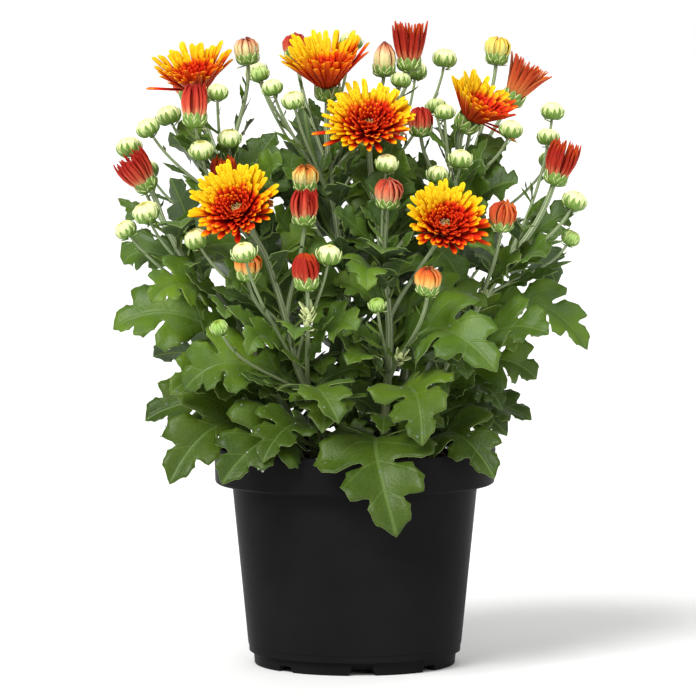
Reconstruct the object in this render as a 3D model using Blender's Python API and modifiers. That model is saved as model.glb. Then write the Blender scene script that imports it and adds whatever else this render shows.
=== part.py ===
# Pot chrysanthemum in a 14 cm nursery pot: pot, soil, leafy shoots, open blooms and half-open heads.
# Tables are in millimetres, seen from the front (the camera side is -Y), and are turned to metres when used.
import math
import random

import bmesh
import bpy
from mathutils import Matrix, Vector

MM = 0.001
FLAT_ANGLE = 0.002

# Pot
POT_HEIGHT = 108.0
RIM_RADIUS = 70.0
RIM_HEIGHT = 18.0
BODY_TOP_RADIUS = 61.0
BODY_FOOT_RADIUS = 52.7
FOOT_RADIUS = 50.4
FOOT_HEIGHT = 6.6
WALL = 1.6
POT_SIDES = 26
# Foot notches: angle round the foot, width at the bottom, height
NOTCHES = [(-86.0, 14.0, 4.9), (-133.0, 10.0, 3.0), (-43.0, 10.0, 3.0), (90.0, 14.0, 4.9)]
NOTCH_DEPTH = 8.0
# Half widths of a notch at its top and bottom, as shares of its width
NOTCH_TOP_SHARE = 0.36
NOTCH_FOOT_SHARE = 0.52

# Soil
SOIL_TOP = 98.0
SOIL_MOUND = 2.4
GAP = 0.3
HOLE_DEPTH = 12.0
SOIL_SIDES = 16
HOLE_ROOM = 0.9
HOLE_OVER = 8.0
HOLE_SIDES = 6

# Plant sizes
STALK_SIDES = 5
STEM_FOOT_RADIUS = 2.5
STEM_TIP_RADIUS = 1.5
TWIG_RADIUS = 1.15
BLADE = 0.7
PETAL_THICKNESS = 1.2
PETAL_WIDTH = 4.3
PETAL_LAYERS = [(11, 0.0, 1.0), (7, 24.0, 0.76)]
PETAL_RING = 2.4
PETAL_ROOT = 2.0
PETAL_RISE = 2.0
SEED = 23
SIDE_LIMIT = 118.0
DEPTH_LIMIT = 96.0

# Points between two knots of a stem, and along a flower stalk and the end of a leading stem
STEM_STEPS = 1
TWIG_STEPS = 3
LEAD_STEPS = 3
# How much a stalk's first direction leans to its head, and the pull of each end of its curve
STALK_LEAN = 1.4
STALK_PULL = 0.3
HEAD_PULL = 0.36
LEAD_PULL = 0.35
LEAD_HEAD_PULL = 0.4

# Room kept round stems, stalks and heads when leaves are placed
STEM_ROOM = 1.2
TWIG_ROOM = 1.4
BUD_ROOM = 0.8
HEAD_ROOM = 1.0
CUP_ROOM = 6.0
CORE_ROOM = 7.0
PETAL_ROOM = 3.0
PATH_SPACING = 3.0
SHEET_SPACING = 4.5
CELL = 12.0 * MM
LEAF_CLEAR = 1.9 * MM
# Near its own foot a leaf may touch its shoot, further out it keeps this share of the room
FREE_SHARE = 0.42
OWN_SHARE = 0.8
POT_ROOM = 2.0
FLOOR_ROOM = 4.0

# Depth of the green cup under a head, and its radius
CALYX_DROP = {"bloom": 7.0, "brush": 6.0, "tight": 5.0}
CUP_RADIUS = {"bloom": 6.4, "brush": 5.8, "tight": 5.6}
CUP_SINK = 2.0
# Along and radius of each ring, shares of the bud's radius, then of the cup's drop and radius
BUD_RINGS = [(-0.80, 0.24), (-0.28, 1.0), (0.66, 0.74)]
CUP_RINGS = [(-1.0, 0.24), (-0.66, 0.82), (0.0, 1.0)]
# Along and width of a petal's rings, as shares, and the turned core that the petals grow from
PETAL_SHARES = [(0.0, 0.42), (0.72, 1.0), (1.0, 0.46)]
CORE_PROFILE = [(0.0, 6.2), (3.2, 7.2), (6.2, 5.2), (6.0, 2.2), (4.6, GAP), (0.0, GAP)]
CORE_SIDES = 7
MOST_LEAN = 78.0
# Flutes of a half-open head and of a closed one
FLUTES = {"brush": 6, "tight": 5}
# Along, radius, and how far every other point is drawn in or down
CROWN = [(0.0, 0.66, 0.0, 0.0), (0.34, 0.92, 0.10, 0.0), (0.76, 1.0, 0.16, 0.0), (1.0, 0.98, 0.30, 0.16),
         (0.70, 0.50, 0.0, 0.0)]
DOME = [(0.0, 0.72, 0.0, 0.0), (0.30, 1.0, 0.10, 0.0), (0.68, 0.88, 0.14, 0.0), (1.0, 0.34, 0.30, 0.10)]

# Main stem of each shoot, from the soil up; the last point is where its leading head sits
STEMS = {
    "left": [(-27, -8, 101), (-33, -11, 125), (-50, -14, 155), (-66, -15, 181), (-82, -16, 199),
             (-93, -16, 218)],
    "back_left": [(-20, 14, 101), (-24, 11, 140), (-34, 3, 180), (-48, -5, 210), (-59, -9, 230),
                  (-68, -3, 252)],
    "front_left": [(-14, -24, 101), (-18, -29, 125), (-28, -37, 150), (-34, -38, 175), (-42, -33, 200)],
    "centre": [(0, 4, 101), (-1, 4, 140), (-4, 2, 180), (-9, 0, 220), (-13, 0, 252)],
    "front_right": [(14, -24, 101), (15, -28, 130), (17, -31, 165), (14, -27, 200), (9, -15, 235)],
    "back_right": [(20, 14, 101), (24, 11, 140), (33, 5, 180), (43, 3, 215), (51, 4, 245)],
    "right": [(28, -8, 101), (34, -11, 125), (50, -14, 160), (68, -16, 190), (84, -17, 212)],
    "back": [(2, 30, 101), (2, 35, 135), (1, 42, 170), (2, 47, 205), (4, 50, 234)],
}

# Heads: name, kind, shoot, height where its twig leaves the stem (0 for the leading head),
# seat, facing, radius, length. A bud is given by its middle.
HEADS = [
    ("bloom_top_left", "bloom", "back_left", 0, (-78, 7, 284.5), (-0.15, -0.48, 0.87), 23, 40),
    ("bloom_top", "bloom", "centre", 0, (-13.5, 0, 286.5), (0.02, -0.28, 0.96), 28, 55),
    ("bloom_upper_middle", "bloom", "front_right", 0, (6.9, -20, 265.5), (0.0, -0.7, 0.71), 23, 16),
    ("bloom_left", "bloom", "front_left", 0, (-56.5, -44, 226), (-0.2, -0.88, 0.43), 24.5, 30),
    ("bloom_right", "bloom", "front_right", 172, (43, -45, 218), (0.18, -0.84, 0.51), 21.5, 22),
    ("bloom_top_right", "bloom", "back_right", 0, (57, 4, 270.5), (0.5, -0.38, 0.78), 23, 43),
    ("bloom_back_middle", "bloom", "back", 0, (8, 60, 264), (0.05, 0.62, 0.78), 22.5, 22),
    ("bloom_back_left", "bloom", "back", 165, (-57, 58, 226), (-0.2, 0.78, 0.6), 21.5, 20),
    ("half_open_far_left", "brush", "left", 0, (-104, -16, 241), (-0.58, -0.2, 0.79), 8.2, 14.5),
    ("half_open_top_left", "brush", "back_left", 248, (-78, -33, 273.5), (0.0, -0.05, 1.0), 6.6, 14),
    ("half_open_top", "brush", "centre", 240, (27, 16, 300), (0.0, 0.0, 1.0), 8.4, 18),
    ("half_open_top_right", "brush", "back_right", 222, (80.5, 37, 282.5), (0.5, 0.0, 0.87), 10.5, 17),
    ("half_open_far_right", "brush", "right", 0, (99.3, -18, 244.5), (0.3, -0.1, 0.95), 8.0, 16),
    ("half_open_behind_left", "brush", "back_left", 222, (-64, -22, 240.5), (-0.05, -0.3, 0.95), 6.0, 12),
    ("half_open_lower_middle", "brush", "front_left", 135, (-23.5, -72, 196), (-0.08, -0.15, 0.98), 6.6, 11),
    ("half_open_back_right", "brush", "back", 160, (45.8, 64, 219.4), (0.2, 0.5, 0.84), 7.8, 14),
    ("half_open_back_left", "brush", "back_left", 205, (-83.2, 43, 284.5), (-0.3, 0.3, 0.9), 7.5, 14),
    ("half_open_right", "tight", "right", 172, (71.5, -42, 222), (0.1, -0.25, 0.95), 7.4, 9),
    ("half_open_left_middle", "tight", "front_left", 172, (-24.7, -45, 224.5), (0.0, -0.1, 1.0), 7.0, 12),
    ("half_open_upper_right", "tight", "back_right", 225, (32.6, 0, 267), (0.0, -0.15, 0.98), 6.0, 9),
    ("colour_bud_middle", "tight", "front_right", 190, (16, -44, 233), (0.05, -0.3, 0.95), 6.8, 9),
    ("colour_bud_lower_right", "tight", "front_right", 140, (35, -71, 192.5), (0.05, -0.3, 0.97), 6.8, 8.5),
    ("colour_bud_lower_left", "tight", "front_left", 158, (-52, -52, 198.5), (0.0, -0.3, 0.95), 6.6, 8),
    ("colour_bud_top", "tight", "centre", 246, (14.5, 15, 296.5), (0.0, -0.05, 1.0), 6.4, 11),
    ("colour_bud_top_left", "tight", "back_left", 240, (-53.5, 10, 302.5), (-0.1, -0.1, 0.98), 6.1, 8),
    ("colour_bud_behind_top", "tight", "centre", 236, (-29.5, 30, 304), (-0.1, 0.1, 0.97), 6.0, 9),
    ("colour_bud_upper_left", "tight", "centre", 190, (-24.4, -27, 240.5), (0.0, -0.2, 1.0), 6.5, 8),
    ("colour_bud_top_right", "tight", "back_right", 208, (71.5, 35, 302.5), (0.1, 0.0, 1.0), 6.2, 8.5),
    ("colour_bud_back_right", "tight", "back_right", 195, (60.3, 49, 279), (0.1, 0.3, 0.95), 6.6, 10),
    ("bud", "bud", "left", 205, (-112.2, 10, 256.5), (-0.2, 0.1, 0.97), 6.2, 0),
    ("bud", "bud", "back_left", 218, (-101.9, -18, 267), (-0.45, -0.1, 0.88), 6.0, 0),
    ("bud", "bud", "back_left", 224, (-92.2, -3, 272.6), (-0.35, 0.0, 0.93), 6.2, 0),
    ("bud", "bud", "left", 178, (-101.9, -36, 225.9), (-0.3, -0.3, 0.9), 6.4, 0),
    ("bud", "bud", "left", 168, (-112.6, -22, 217), (-0.5, -0.2, 0.84), 5.4, 0),
    ("bud", "bud", "back_left", 240, (-67.3, -25, 284.5), (0.0, -0.1, 1.0), 5.4, 0),
    ("bud", "bud", "back_left", 192, (-75, -31, 256), (-0.1, -0.3, 0.95), 5.8, 0),
    ("bud", "bud", "back_left", 228, (-61.5, -22, 261.5), (0.0, -0.2, 0.98), 5.6, 0),
    ("bud", "bud", "front_left", 146, (-53.5, -74, 208.3), (-0.2, -0.3, 0.93), 6.0, 0),
    ("bud", "bud", "front_left", 165, (-77, -48, 213.7), (-0.35, -0.2, 0.9), 6.0, 0),
    ("bud", "bud", "front_left", 150, (-12.5, -72, 207.1), (0.1, -0.2, 0.97), 6.2, 0),
    ("bud", "bud", "front_left", 132, (-65.3, -74, 172.1), (-0.3, -0.4, 0.86), 4.2, 0),
    ("bud", "bud", "centre", 232, (-47, -4, 292.8), (-0.25, 0.0, 0.96), 4.6, 0),
    ("bud", "bud", "centre", 226, (-40.8, -15, 286.5), (-0.25, -0.1, 0.96), 5.2, 0),
    ("bud", "bud", "centre", 222, (-30.3, -25, 280.2), (-0.2, -0.2, 0.96), 5.4, 0),
    ("bud", "bud", "centre", 250, (-2, 30, 309), (0.1, 0.1, 0.99), 5.6, 0),
    ("bud", "bud", "centre", 225, (23, 2, 290), (0.15, 0.0, 0.98), 5.0, 0),
    ("bud", "bud", "centre", 206, (45, 20, 300.6), (0.1, 0.0, 0.99), 6.0, 0),
    ("bud", "bud", "front_right", 205, (15.5, -37, 250), (0.1, -0.3, 0.95), 5.6, 0),
    ("bud", "bud", "front_right", 145, (10.5, -74, 183), (-0.1, -0.4, 0.9), 4.0, 0),
    ("bud", "bud", "front_right", 195, (40.7, -20, 244), (0.1, -0.1, 0.98), 5.8, 0),
    ("bud", "bud", "back_right", 228, (76.7, -14, 266), (0.2, -0.1, 0.97), 5.8, 0),
    ("bud", "bud", "back_right", 205, (51.6, -28, 252), (0.1, -0.2, 0.97), 5.8, 0),
    ("bud", "bud", "back_right", 236, (40.2, 12, 277), (-0.1, 0.1, 0.98), 5.0, 0),
    ("bud", "bud", "back_right", 232, (44.2, -9, 274.5), (0.0, -0.1, 0.99), 5.0, 0),
    ("bud", "bud", "right", 200, (98.2, 6, 274.4), (0.1, 0.0, 0.99), 5.6, 0),
    ("bud", "bud", "right", 195, (95.5, -6, 262), (0.1, 0.0, 0.99), 5.6, 0),
    ("bud", "bud", "right", 190, (107.5, -30, 231.5), (0.35, -0.1, 0.92), 6.0, 0),
    ("bud", "bud", "right", 182, (106, -20, 212.5), (0.4, -0.1, 0.9), 4.4, 0),
    ("bud", "bud", "back", 185, (-26, 76, 222), (-0.2, 0.4, 0.88), 6.0, 0),
    ("bud", "bud", "back", 172, (8, 82, 200), (0.0, 0.5, 0.86), 5.8, 0),
    ("bud", "bud", "back", 196, (31, 54, 294), (0.1, 0.2, 0.97), 5.8, 0),
    ("bud", "bud", "back", 195, (-50, 50, 294), (-0.3, 0.1, 0.94), 5.6, 0),
    ("bud", "bud", "back_right", 172, (66, 62, 200), (0.3, 0.4, 0.85), 5.8, 0),
    ("bud", "bud", "back_right", 195, (98, 30, 249), (0.5, 0.2, 0.84), 5.6, 0),
    ("bud", "bud", "back_left", 188, (-104, 28, 244), (-0.5, 0.2, 0.84), 5.8, 0),
]

# Leaves set by hand from the picture: shoot, height on the stem, bend point, tip, width share,
# roll in degrees
LEAVES = [
    ("front_right", 112, (8, -90, 134), (20, -94, 73), 0.66, 0),
    ("left", 148, (-88, -22, 186), (-120.0, -20, 167), 0.60, 0),
    ("right", 176, (95, -24, 200), (114.5, -24, 157), 0.47, 0),
    ("back", 112, (6, 86, 136), (10, 96.8, 92), 0.60, 0),
    ("front_left", 108, (-45, -62, 138), (-64, -78, 97), 0.60, -8),
    ("left", 108, (-70, -42, 136), (-88, -52, 84), 0.56, -6),
    ("right", 108, (58, -40, 138), (76, -54, 98), 0.56, 8),
    ("front_right", 132, (24, -76, 158), (32, -93, 117), 0.60, 6),
    ("front_right", 152, (34, -70, 186), (43, -92, 132), 0.62, 8),
    ("front_left", 128, (-10, -72, 160), (3, -88, 128), 0.58, -6),
    ("front_left", 138, (-58, -66, 166), (-79, -62, 140), 0.60, -8),
    ("front_left", 118, (-30, -72, 140), (-38, -92, 106), 0.56, 0),
    ("left", 118, (-74, -14, 142), (-104, -12, 122), 0.58, 0),
    ("left", 172, (-90, -38, 204), (-104, -40, 182), 0.56, -10),
    ("left", 140, (-80, 12, 166), (-101, 16, 152), 0.56, 10),
    ("left", 132, (-66, -38, 156), (-90, -48, 138), 0.56, -10),
    ("left", 202, (-74, -2, 216), (-84, 8, 246), 0.80, 0),
    ("right", 156, (74, -46, 178), (94, -54, 168), 0.62, 0),
    ("right", 130, (62, -34, 166), (80, -44, 142), 0.62, 8),
    ("right", 118, (62, -4, 140), (88, -6, 122), 0.58, 0),
    ("right", 184, (96, 4, 214), (111, 4, 188), 0.58, 0),
    ("right", 204, (98, 2, 222), (109, -4, 226), 0.66, 0),
    ("back_left", 216, (-50, 8, 240), (-42, 14, 262), 0.80, 0),
    ("back_left", 190, (-58, -30, 206), (-82, -34, 196), 0.60, 0),
    ("back_right", 208, (62, -6, 226), (72, -12, 246), 0.70, 0),
    ("back_right", 190, (46, 20, 222), (58, 20, 240), 0.70, 0),
    ("front_right", 180, (8, -60, 214), (6, -72, 190), 0.60, 0),
    ("front_right", 170, (44, -40, 196), (60, -52, 180), 0.56, 0),
    ("centre", 200, (14, -8, 224), (26, -14, 232), 0.60, 0),
    ("centre", 188, (-30, -6, 214), (-36, -20, 228), 0.60, 0),
    ("back", 128, (-34, 74, 158), (-44, 86, 124), 0.60, 0),
    ("back", 140, (36, 76, 166), (48, 84, 136), 0.60, 0),
    ("back", 158, (-10, 82, 188), (-14, 92, 160), 0.58, 0),
]

# Rule for the leaves between: heights up a stem, turn from one to the next, length low and high
LEAF_STEP = 16.0
LEAF_START = 112.0
LEAF_TURN = 137.5
LEAF_LOW_LENGTH = 62.0
LEAF_HIGH_LENGTH = 44.0
# How far a leaf's bend stands over its foot and its tip hangs under the bend, low and high on a stem
LOW_RISE = 0.36
HIGH_RISE = 0.52
LOW_SAG = 0.56
HIGH_SAG = 0.06
START_TURN = {"left": 190, "back_left": 120, "front_left": 250, "centre": 20, "front_right": 300,
              "back_right": 60, "right": 350, "back": 90}
# Turn and lift tried on a leaf until it stands clear
TRIES = [(0, 0), (10, 0), (-10, 0), (0, 8), (0, -8), (20, 0), (-20, 0), (14, 10), (-14, 10), (14, -10),
         (-14, -10), (30, 0), (-30, 0), (24, 16), (-24, 16), (42, 0), (-42, 0), (0, 20), (0, -20),
         (54, 8), (-54, 8), (20, -20), (-20, -20), (20, 26), (-20, 26), (0, 34), (0, -34), (70, 0),
         (-70, 0)]
SIZES = [1.0, 0.86, 0.74]

# Half outline of a leaf: along, sideways (shares of length), and the rib point it hangs on
LARGE_EDGE = [(0.0, 0.032, 0), (0.17, 0.032, 0), (0.35, 0.40, 1), (0.44, 0.22, 1), (0.61, 0.50, 1),
              (0.69, 0.27, 2), (0.87, 0.28, 2)]
LARGE_RIB = [0.17, 0.50, 0.77, 1.0]
MIDDLE_EDGE = [(0.0, 0.032, 0), (0.17, 0.032, 0), (0.44, 0.48, 1), (0.54, 0.26, 1), (0.82, 0.38, 1)]
MIDDLE_RIB = [0.17, 0.54, 1.0]
SMALL_EDGE = [(0.0, 0.036, 0), (0.16, 0.036, 0), (0.52, 0.46, 1), (0.66, 0.26, 1)]
SMALL_RIB = [0.16, 0.56, 1.0]
BRACT_EVERY = 12
BRACT_EDGE = [(0.0, 0.06, 0), (0.5, 0.09, 0)]
BRACT_RIB = [0.5, 1.0]
FOLD = 14.0
# Leaves turn their upper faces this much to the front, or to the back where their tips lie behind the split
FACE_TURN = 1.1
FACE_SPLIT = 14.0

# Colours
COLOURS = {
    "pot": ((0.018, 0.018, 0.020), 0.55),
    "soil": ((0.055, 0.032, 0.020), 0.95),
    "leaf": ((0.085, 0.160, 0.045), 0.60),
    "bloom": ((0.900, 0.420, 0.030), 0.55),
    "brush": ((0.620, 0.060, 0.030), 0.50),
    "tight": ((0.760, 0.330, 0.080), 0.50),
}

for old in list(bpy.data.objects):
    bpy.data.objects.remove(old, do_unlink=True)
parts = bpy.data.collections.new("parts")
cutters = bpy.data.collections.new("cutters")
bpy.context.scene.collection.children.link(parts)
bpy.context.scene.collection.children.link(cutters)


def metres(row):
    return Vector(row) * MM


def material(name, kind):
    made = bpy.data.materials.new(name)
    made.use_nodes = True
    surface = made.node_tree.nodes["Principled BSDF"]
    colour, roughness = COLOURS[kind]
    surface.inputs["Base Color"].default_value = (*colour, 1.0)
    surface.inputs["Roughness"].default_value = roughness
    surface.inputs["Metallic"].default_value = 0.0
    return made


def object_of(name, mesh, group):
    made = bpy.data.objects.new(name, mesh)
    group.objects.link(made)
    return made


def settled(shape, group):
    """The object's mesh with its modifiers applied, as a new object; the old one goes."""
    graph = bpy.context.evaluated_depsgraph_get()
    mesh = bpy.data.meshes.new_from_object(shape.evaluated_get(graph))
    name = shape.name
    place = shape.matrix_world.copy()
    bpy.data.objects.remove(shape, do_unlink=True)
    work = bmesh.new()
    work.from_mesh(mesh)
    bmesh.ops.remove_doubles(work, verts=work.verts, dist=1e-7)
    bmesh.ops.dissolve_limit(work, angle_limit=FLAT_ANGLE, verts=work.verts, edges=work.edges)
    bmesh.ops.triangulate(work, faces=work.faces)
    bmesh.ops.recalc_face_normals(work, faces=work.faces)
    work.to_mesh(mesh)
    work.free()
    made = object_of(name, mesh, group)
    made.matrix_world = place
    return made


def turned(name, profile, steps, group):
    """A lathe shape: the profile runs top to bottom down the outer side at +X."""
    mesh = bpy.data.meshes.new(name)
    points = [(radius * MM, 0.0, height * MM) for radius, height in profile]
    mesh.from_pydata(points, [(i, i + 1) for i in range(len(points) - 1)], [])
    shape = object_of(name, mesh, group)
    screw = shape.modifiers.new("turn", "SCREW")
    screw.steps = steps
    screw.render_steps = steps
    screw.use_merge_vertices = True
    screw.merge_threshold = 1e-6
    return settled(shape, group)


def loft(name, rings, group):
    """A closed skin over rings of equal count, for petals and fluted heads."""
    count = len(rings[0])
    points = [point for ring in rings for point in ring]
    faces = [tuple(reversed(range(count)))]
    for row in range(len(rings) - 1):
        low = row * count
        high = low + count
        for i in range(count):
            j = (i + 1) % count
            faces.append((low + i, low + j, high + j, high + i))
    last = (len(rings) - 1) * count
    faces.append(tuple(range(last, last + count)))
    mesh = bpy.data.meshes.new(name)
    mesh.from_pydata(points, [], faces)
    return settled(object_of(name, mesh, group), group)


def stalk_with_head(name, path, radii, level, steady, group):
    """A stalk that swells into its bud or green cup: five-sided rings along a path.
    The first steady rings keep one level, so their sides stay flat where others join."""
    rings = []
    across = Vector((1, 0, 0))
    for i, (point, radius) in enumerate(zip(path, radii)):
        before = path[max(0, i - 1)]
        after = path[min(len(path) - 1, i + 1)]
        along = level if i < steady else (after - before).normalized()
        across = (across - along * across.dot(along)).normalized()
        other = along.cross(across)
        ring = []
        for k in range(STALK_SIDES):
            turn = 2 * math.pi * k / STALK_SIDES
            ring.append(point + (across * math.cos(turn) + other * math.sin(turn)) * radius * MM)
        rings.append(ring)
    return loft(name, rings, group)


def fused(name, base, helpers, kind):
    """One Boolean union of the base with the helper collection, as a node."""
    if helpers.objects:
        union = base.modifiers.new("join", "BOOLEAN")
        union.operation = "UNION"
        union.operand_type = "COLLECTION"
        union.collection = helpers
        union.solver = "MANIFOLD"
    base.name = name
    node = settled(base, parts)
    for helper in list(helpers.objects):
        bpy.data.objects.remove(helper, do_unlink=True)
    bpy.data.collections.remove(helpers)
    node.name = name
    node.data.name = name
    node.data.materials.clear()
    node.data.materials.append(material(name, kind))
    return node


def helper_group(name):
    made = bpy.data.collections.new(name)
    bpy.context.scene.collection.children.link(made)
    return made


def facing(seat, axis):
    """The matrix that stands a shape's +Z along the axis at the seat."""
    turn = axis.normalized().to_track_quat("Z", "Y").to_matrix().to_4x4()
    return Matrix.Translation(seat) @ turn


def smooth_path(knots, steps):
    """A curve through the knots, a few points between each two."""
    rows = [knots[0] * 2 - knots[1]] + knots + [knots[-1] * 2 - knots[-2]]
    path = []
    for k in range(1, len(rows) - 2):
        a, b, c, d = rows[k - 1], rows[k], rows[k + 1], rows[k + 2]
        for i in range(steps):
            s = i / steps
            path.append(0.5 * (2 * b + (c - a) * s + (2 * a - 5 * b + 4 * c - d) * s * s
                               + (3 * b - a - 3 * c + d) * s ** 3))
    path.append(knots[-1])
    return path


def bow(a, b, c, d, steps):
    """A cubic curve from a to d."""
    path = []
    for i in range(steps + 1):
        s = i / steps
        path.append(a * (1 - s) ** 3 + b * 3 * s * (1 - s) ** 2 + c * 3 * s * s * (1 - s) + d * s ** 3)
    return path


def stem_path(shoot):
    """The shoot's main stem: foot in its hole, up through its knots, into the leading head."""
    knots = [metres(row) for row in STEMS[shoot]]
    lead = [row for row in HEADS if row[2] == shoot and row[3] == 0]
    if lead:
        name, kind, _, _, seat, axis, radius, length = lead[0]
        axis = Vector(axis).normalized()
        end = metres(seat) - axis * (CALYX_DROP[kind] - CUP_SINK) * MM
        reach = (end - knots[-1]).length
        head = bow(knots[-1], knots[-1] + (knots[-1] - knots[-2]).normalized() * reach * LEAD_PULL,
                   end - axis * reach * LEAD_HEAD_PULL, end, LEAD_STEPS)
        path = smooth_path(knots, STEM_STEPS)[:-1] + head
    else:
        path = smooth_path(knots, STEM_STEPS)
    foot = Vector((knots[0].x, knots[0].y, (SOIL_TOP - HOLE_DEPTH + GAP) * MM))
    return [foot] + path


def point_at_height(path, height):
    """Where the path passes a height, and which way it runs there."""
    for a, b in zip(path, path[1:]):
        if a.z <= height * MM <= b.z:
            share = (height * MM - a.z) / max(b.z - a.z, 1e-9)
            return a.lerp(b, share), (b - a).normalized()
    return path[-1].copy(), (path[-1] - path[-2]).normalized()


def twig_path(path, row):
    """A flower stalk from the main stem to the foot of its head."""
    name, kind, shoot, height, seat, axis, radius, length = row
    start, along = point_at_height(path, height)
    axis = Vector(axis).normalized()
    drop = 0.0 if kind == "bud" else CALYX_DROP[kind] - CUP_SINK
    end = metres(seat) - axis * drop * MM
    reach = (end - start).length
    leaving = (along + (end - start).normalized() * STALK_LEAN).normalized()
    return bow(start, start + leaving * reach * STALK_PULL, end - axis * reach * HEAD_PULL, end, TWIG_STEPS)


# What already stands somewhere, kept in a grid so a leaf can be set clear of it
taken = {}


def cell_of(point):
    return (int(point.x // CELL), int(point.y // CELL), int(point.z // CELL))


def take(point, radius, owner):
    taken.setdefault(cell_of(point), []).append((point, radius, owner))


def take_path(path, radius, owner):
    for a, b in zip(path, path[1:]):
        count = max(1, int((b - a).length / (PATH_SPACING * MM)))
        for i in range(count):
            take(a.lerp(b, i / count), radius, owner)


def is_free(point, radius, owner, own_gap):
    """True where nothing else comes within reach; own_gap is the share kept from the same shoot."""
    home = cell_of(point)
    for x in (-1, 0, 1):
        for y in (-1, 0, 1):
            for z in (-1, 0, 1):
                for other, wide, whose in taken.get((home[0] + x, home[1] + y, home[2] + z), ()):
                    reach = radius + wide
                    if whose == owner:
                        reach *= own_gap
                    if reach > 0 and (point - other).length < reach:
                        return False
    return True


def clear_of_pot(point):
    round_axis = math.hypot(point.x, point.y) / MM
    height = point.z / MM
    if round_axis < RIM_RADIUS - WALL - POT_ROOM:
        return height > SOIL_TOP + SOIL_MOUND + POT_ROOM
    if round_axis < RIM_RADIUS + POT_ROOM:
        return height > POT_HEIGHT + POT_ROOM
    return height > FLOOR_ROOM


def leaf_sheet(base, bend, tip, width, roll, edge, rib):
    """Points and triangles of a leaf blade laid along a bent midrib."""
    length = (bend - base).length * 0.5 + (tip - bend).length * 0.5 + (tip - base).length * 0.5
    across = width * length / (2.0 * max(v for _, v, _ in edge))
    if edge is BRACT_EDGE:
        across = length

    toward = -1.0 if tip.y < FACE_SPLIT * MM else 1.0

    def frame(s):
        spot = base * (1 - s) ** 2 + bend * 2 * s * (1 - s) + tip * s * s
        along = ((bend - base) * (1 - s) + (tip - bend) * s).normalized()
        hint = Vector((0.0, toward * FACE_TURN, 1.0))
        up = (hint - along * hint.dot(along)).normalized()
        up = Matrix.Rotation(math.radians(roll), 3, along) @ up
        return spot, up, along.cross(up)

    points = [frame(s)[0] for s in rib]
    last = len(rib) - 1
    faces = []
    rows = []
    for side in (1, -1):
        row = []
        for s, v, hang in edge:
            spot, up, cross = frame(max(s, rib[0]))
            spot = frame(s)[0]
            lift = math.sin(math.radians(FOLD)) * max(0.0, v - edge[1][1]) * across
            points.append(spot + cross * side * v * across * math.cos(math.radians(FOLD)) + up * lift)
            row.append(len(points) - 1)
        rows.append(row)
        made = []
        for i in range(len(edge) - 1):
            here, there = edge[i][2], edge[i + 1][2]
            if here != there:
                made.append((here, there, row[i]))
            made.append((there, row[i + 1], row[i]))
        made.append((edge[-1][2], last, row[-1]))
        faces += made if side > 0 else [tuple(reversed(face)) for face in made]
    faces.append((rows[0][0], rows[1][0], 0))
    return points, faces


def sheet_samples(points, faces, spacing):
    """Points spread over the triangles of a sheet."""
    spots = []
    for a, b, c in faces:
        pa, pb, pc = points[a], points[b], points[c]
        longest = max((pb - pa).length, (pc - pb).length, (pa - pc).length)
        count = max(1, math.ceil(longest / spacing))
        for i in range(count + 1):
            for j in range(count + 1 - i):
                spots.append(pa + (pb - pa) * (i / count) + (pc - pa) * (j / count))
    return spots


def swung(base, point, turn, lift):
    """The point turned round the upright through the base, then lifted."""
    arm = Matrix.Rotation(math.radians(turn), 3, "Z") @ (point - base)
    side = Vector((-arm.y, arm.x, 0.0))
    if side.length < 1e-6:
        return base + arm
    return base + Matrix.Rotation(math.radians(-lift), 3, side.normalized()) @ arm


def place_leaf(shoot, base, bend, tip, width, roll, edge, rib, limited):
    """The first try at which the leaf stands clear, or nothing."""
    for size in SIZES:
        for turn, lift in TRIES:
            new_bend = base + (swung(base, bend, turn, lift) - base) * size
            new_tip = base + (swung(base, tip, turn, lift) - base) * size
            points, faces = leaf_sheet(base, new_bend, new_tip, width, roll, edge, rib)
            spots = sheet_samples(points, faces, SHEET_SPACING * MM)
            reach = (new_tip - base).length
            fine = True
            for spot in spots:
                if limited and (abs(spot.x) > SIDE_LIMIT * MM or abs(spot.y) > DEPTH_LIMIT * MM):
                    fine = False
                    break
                if not clear_of_pot(spot):
                    fine = False
                    break
                own_gap = 0.0 if (spot - base).length < reach * FREE_SHARE else OWN_SHARE
                if not is_free(spot, LEAF_CLEAR, shoot, own_gap):
                    fine = False
                    break
            if fine:
                for spot in spots:
                    take(spot, LEAF_CLEAR, shoot)
                return base, new_bend, new_tip, width, roll, edge, rib
    return None


def bloom_petals(row, rng):
    """Root, lean, turn, length and width of every petal of an open bloom."""
    name, kind, shoot, height, seat, axis, radius, spread = row
    petals = []
    for layer, (count, lift, share) in enumerate(PETAL_LAYERS):
        for i in range(count):
            turn = 360.0 * (i + 0.5 * layer) / count + rng.uniform(-4, 4)
            lean = min(MOST_LEAN, spread + lift + rng.uniform(-4, 4))
            reach = (radius - PETAL_RING) * share * rng.uniform(0.95, 1.04)
            petals.append((PETAL_ROOT + PETAL_RISE * layer, lean, turn, reach))
    return petals


def petal_foot(turn, root):
    """Where a petal springs from inside the core."""
    return Matrix.Rotation(math.radians(turn), 3, "Z") @ Vector((PETAL_RING, 0.0, root)) * MM


def build_leaf(name, spec, group):
    points, faces = leaf_sheet(*spec)
    mesh = bpy.data.meshes.new(name)
    mesh.from_pydata(points, [], faces)
    blade = object_of(name, mesh, group)
    thick = blade.modifiers.new("blade", "SOLIDIFY")
    thick.thickness = BLADE * MM
    thick.offset = 0.0
    return settled(blade, group)


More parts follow.
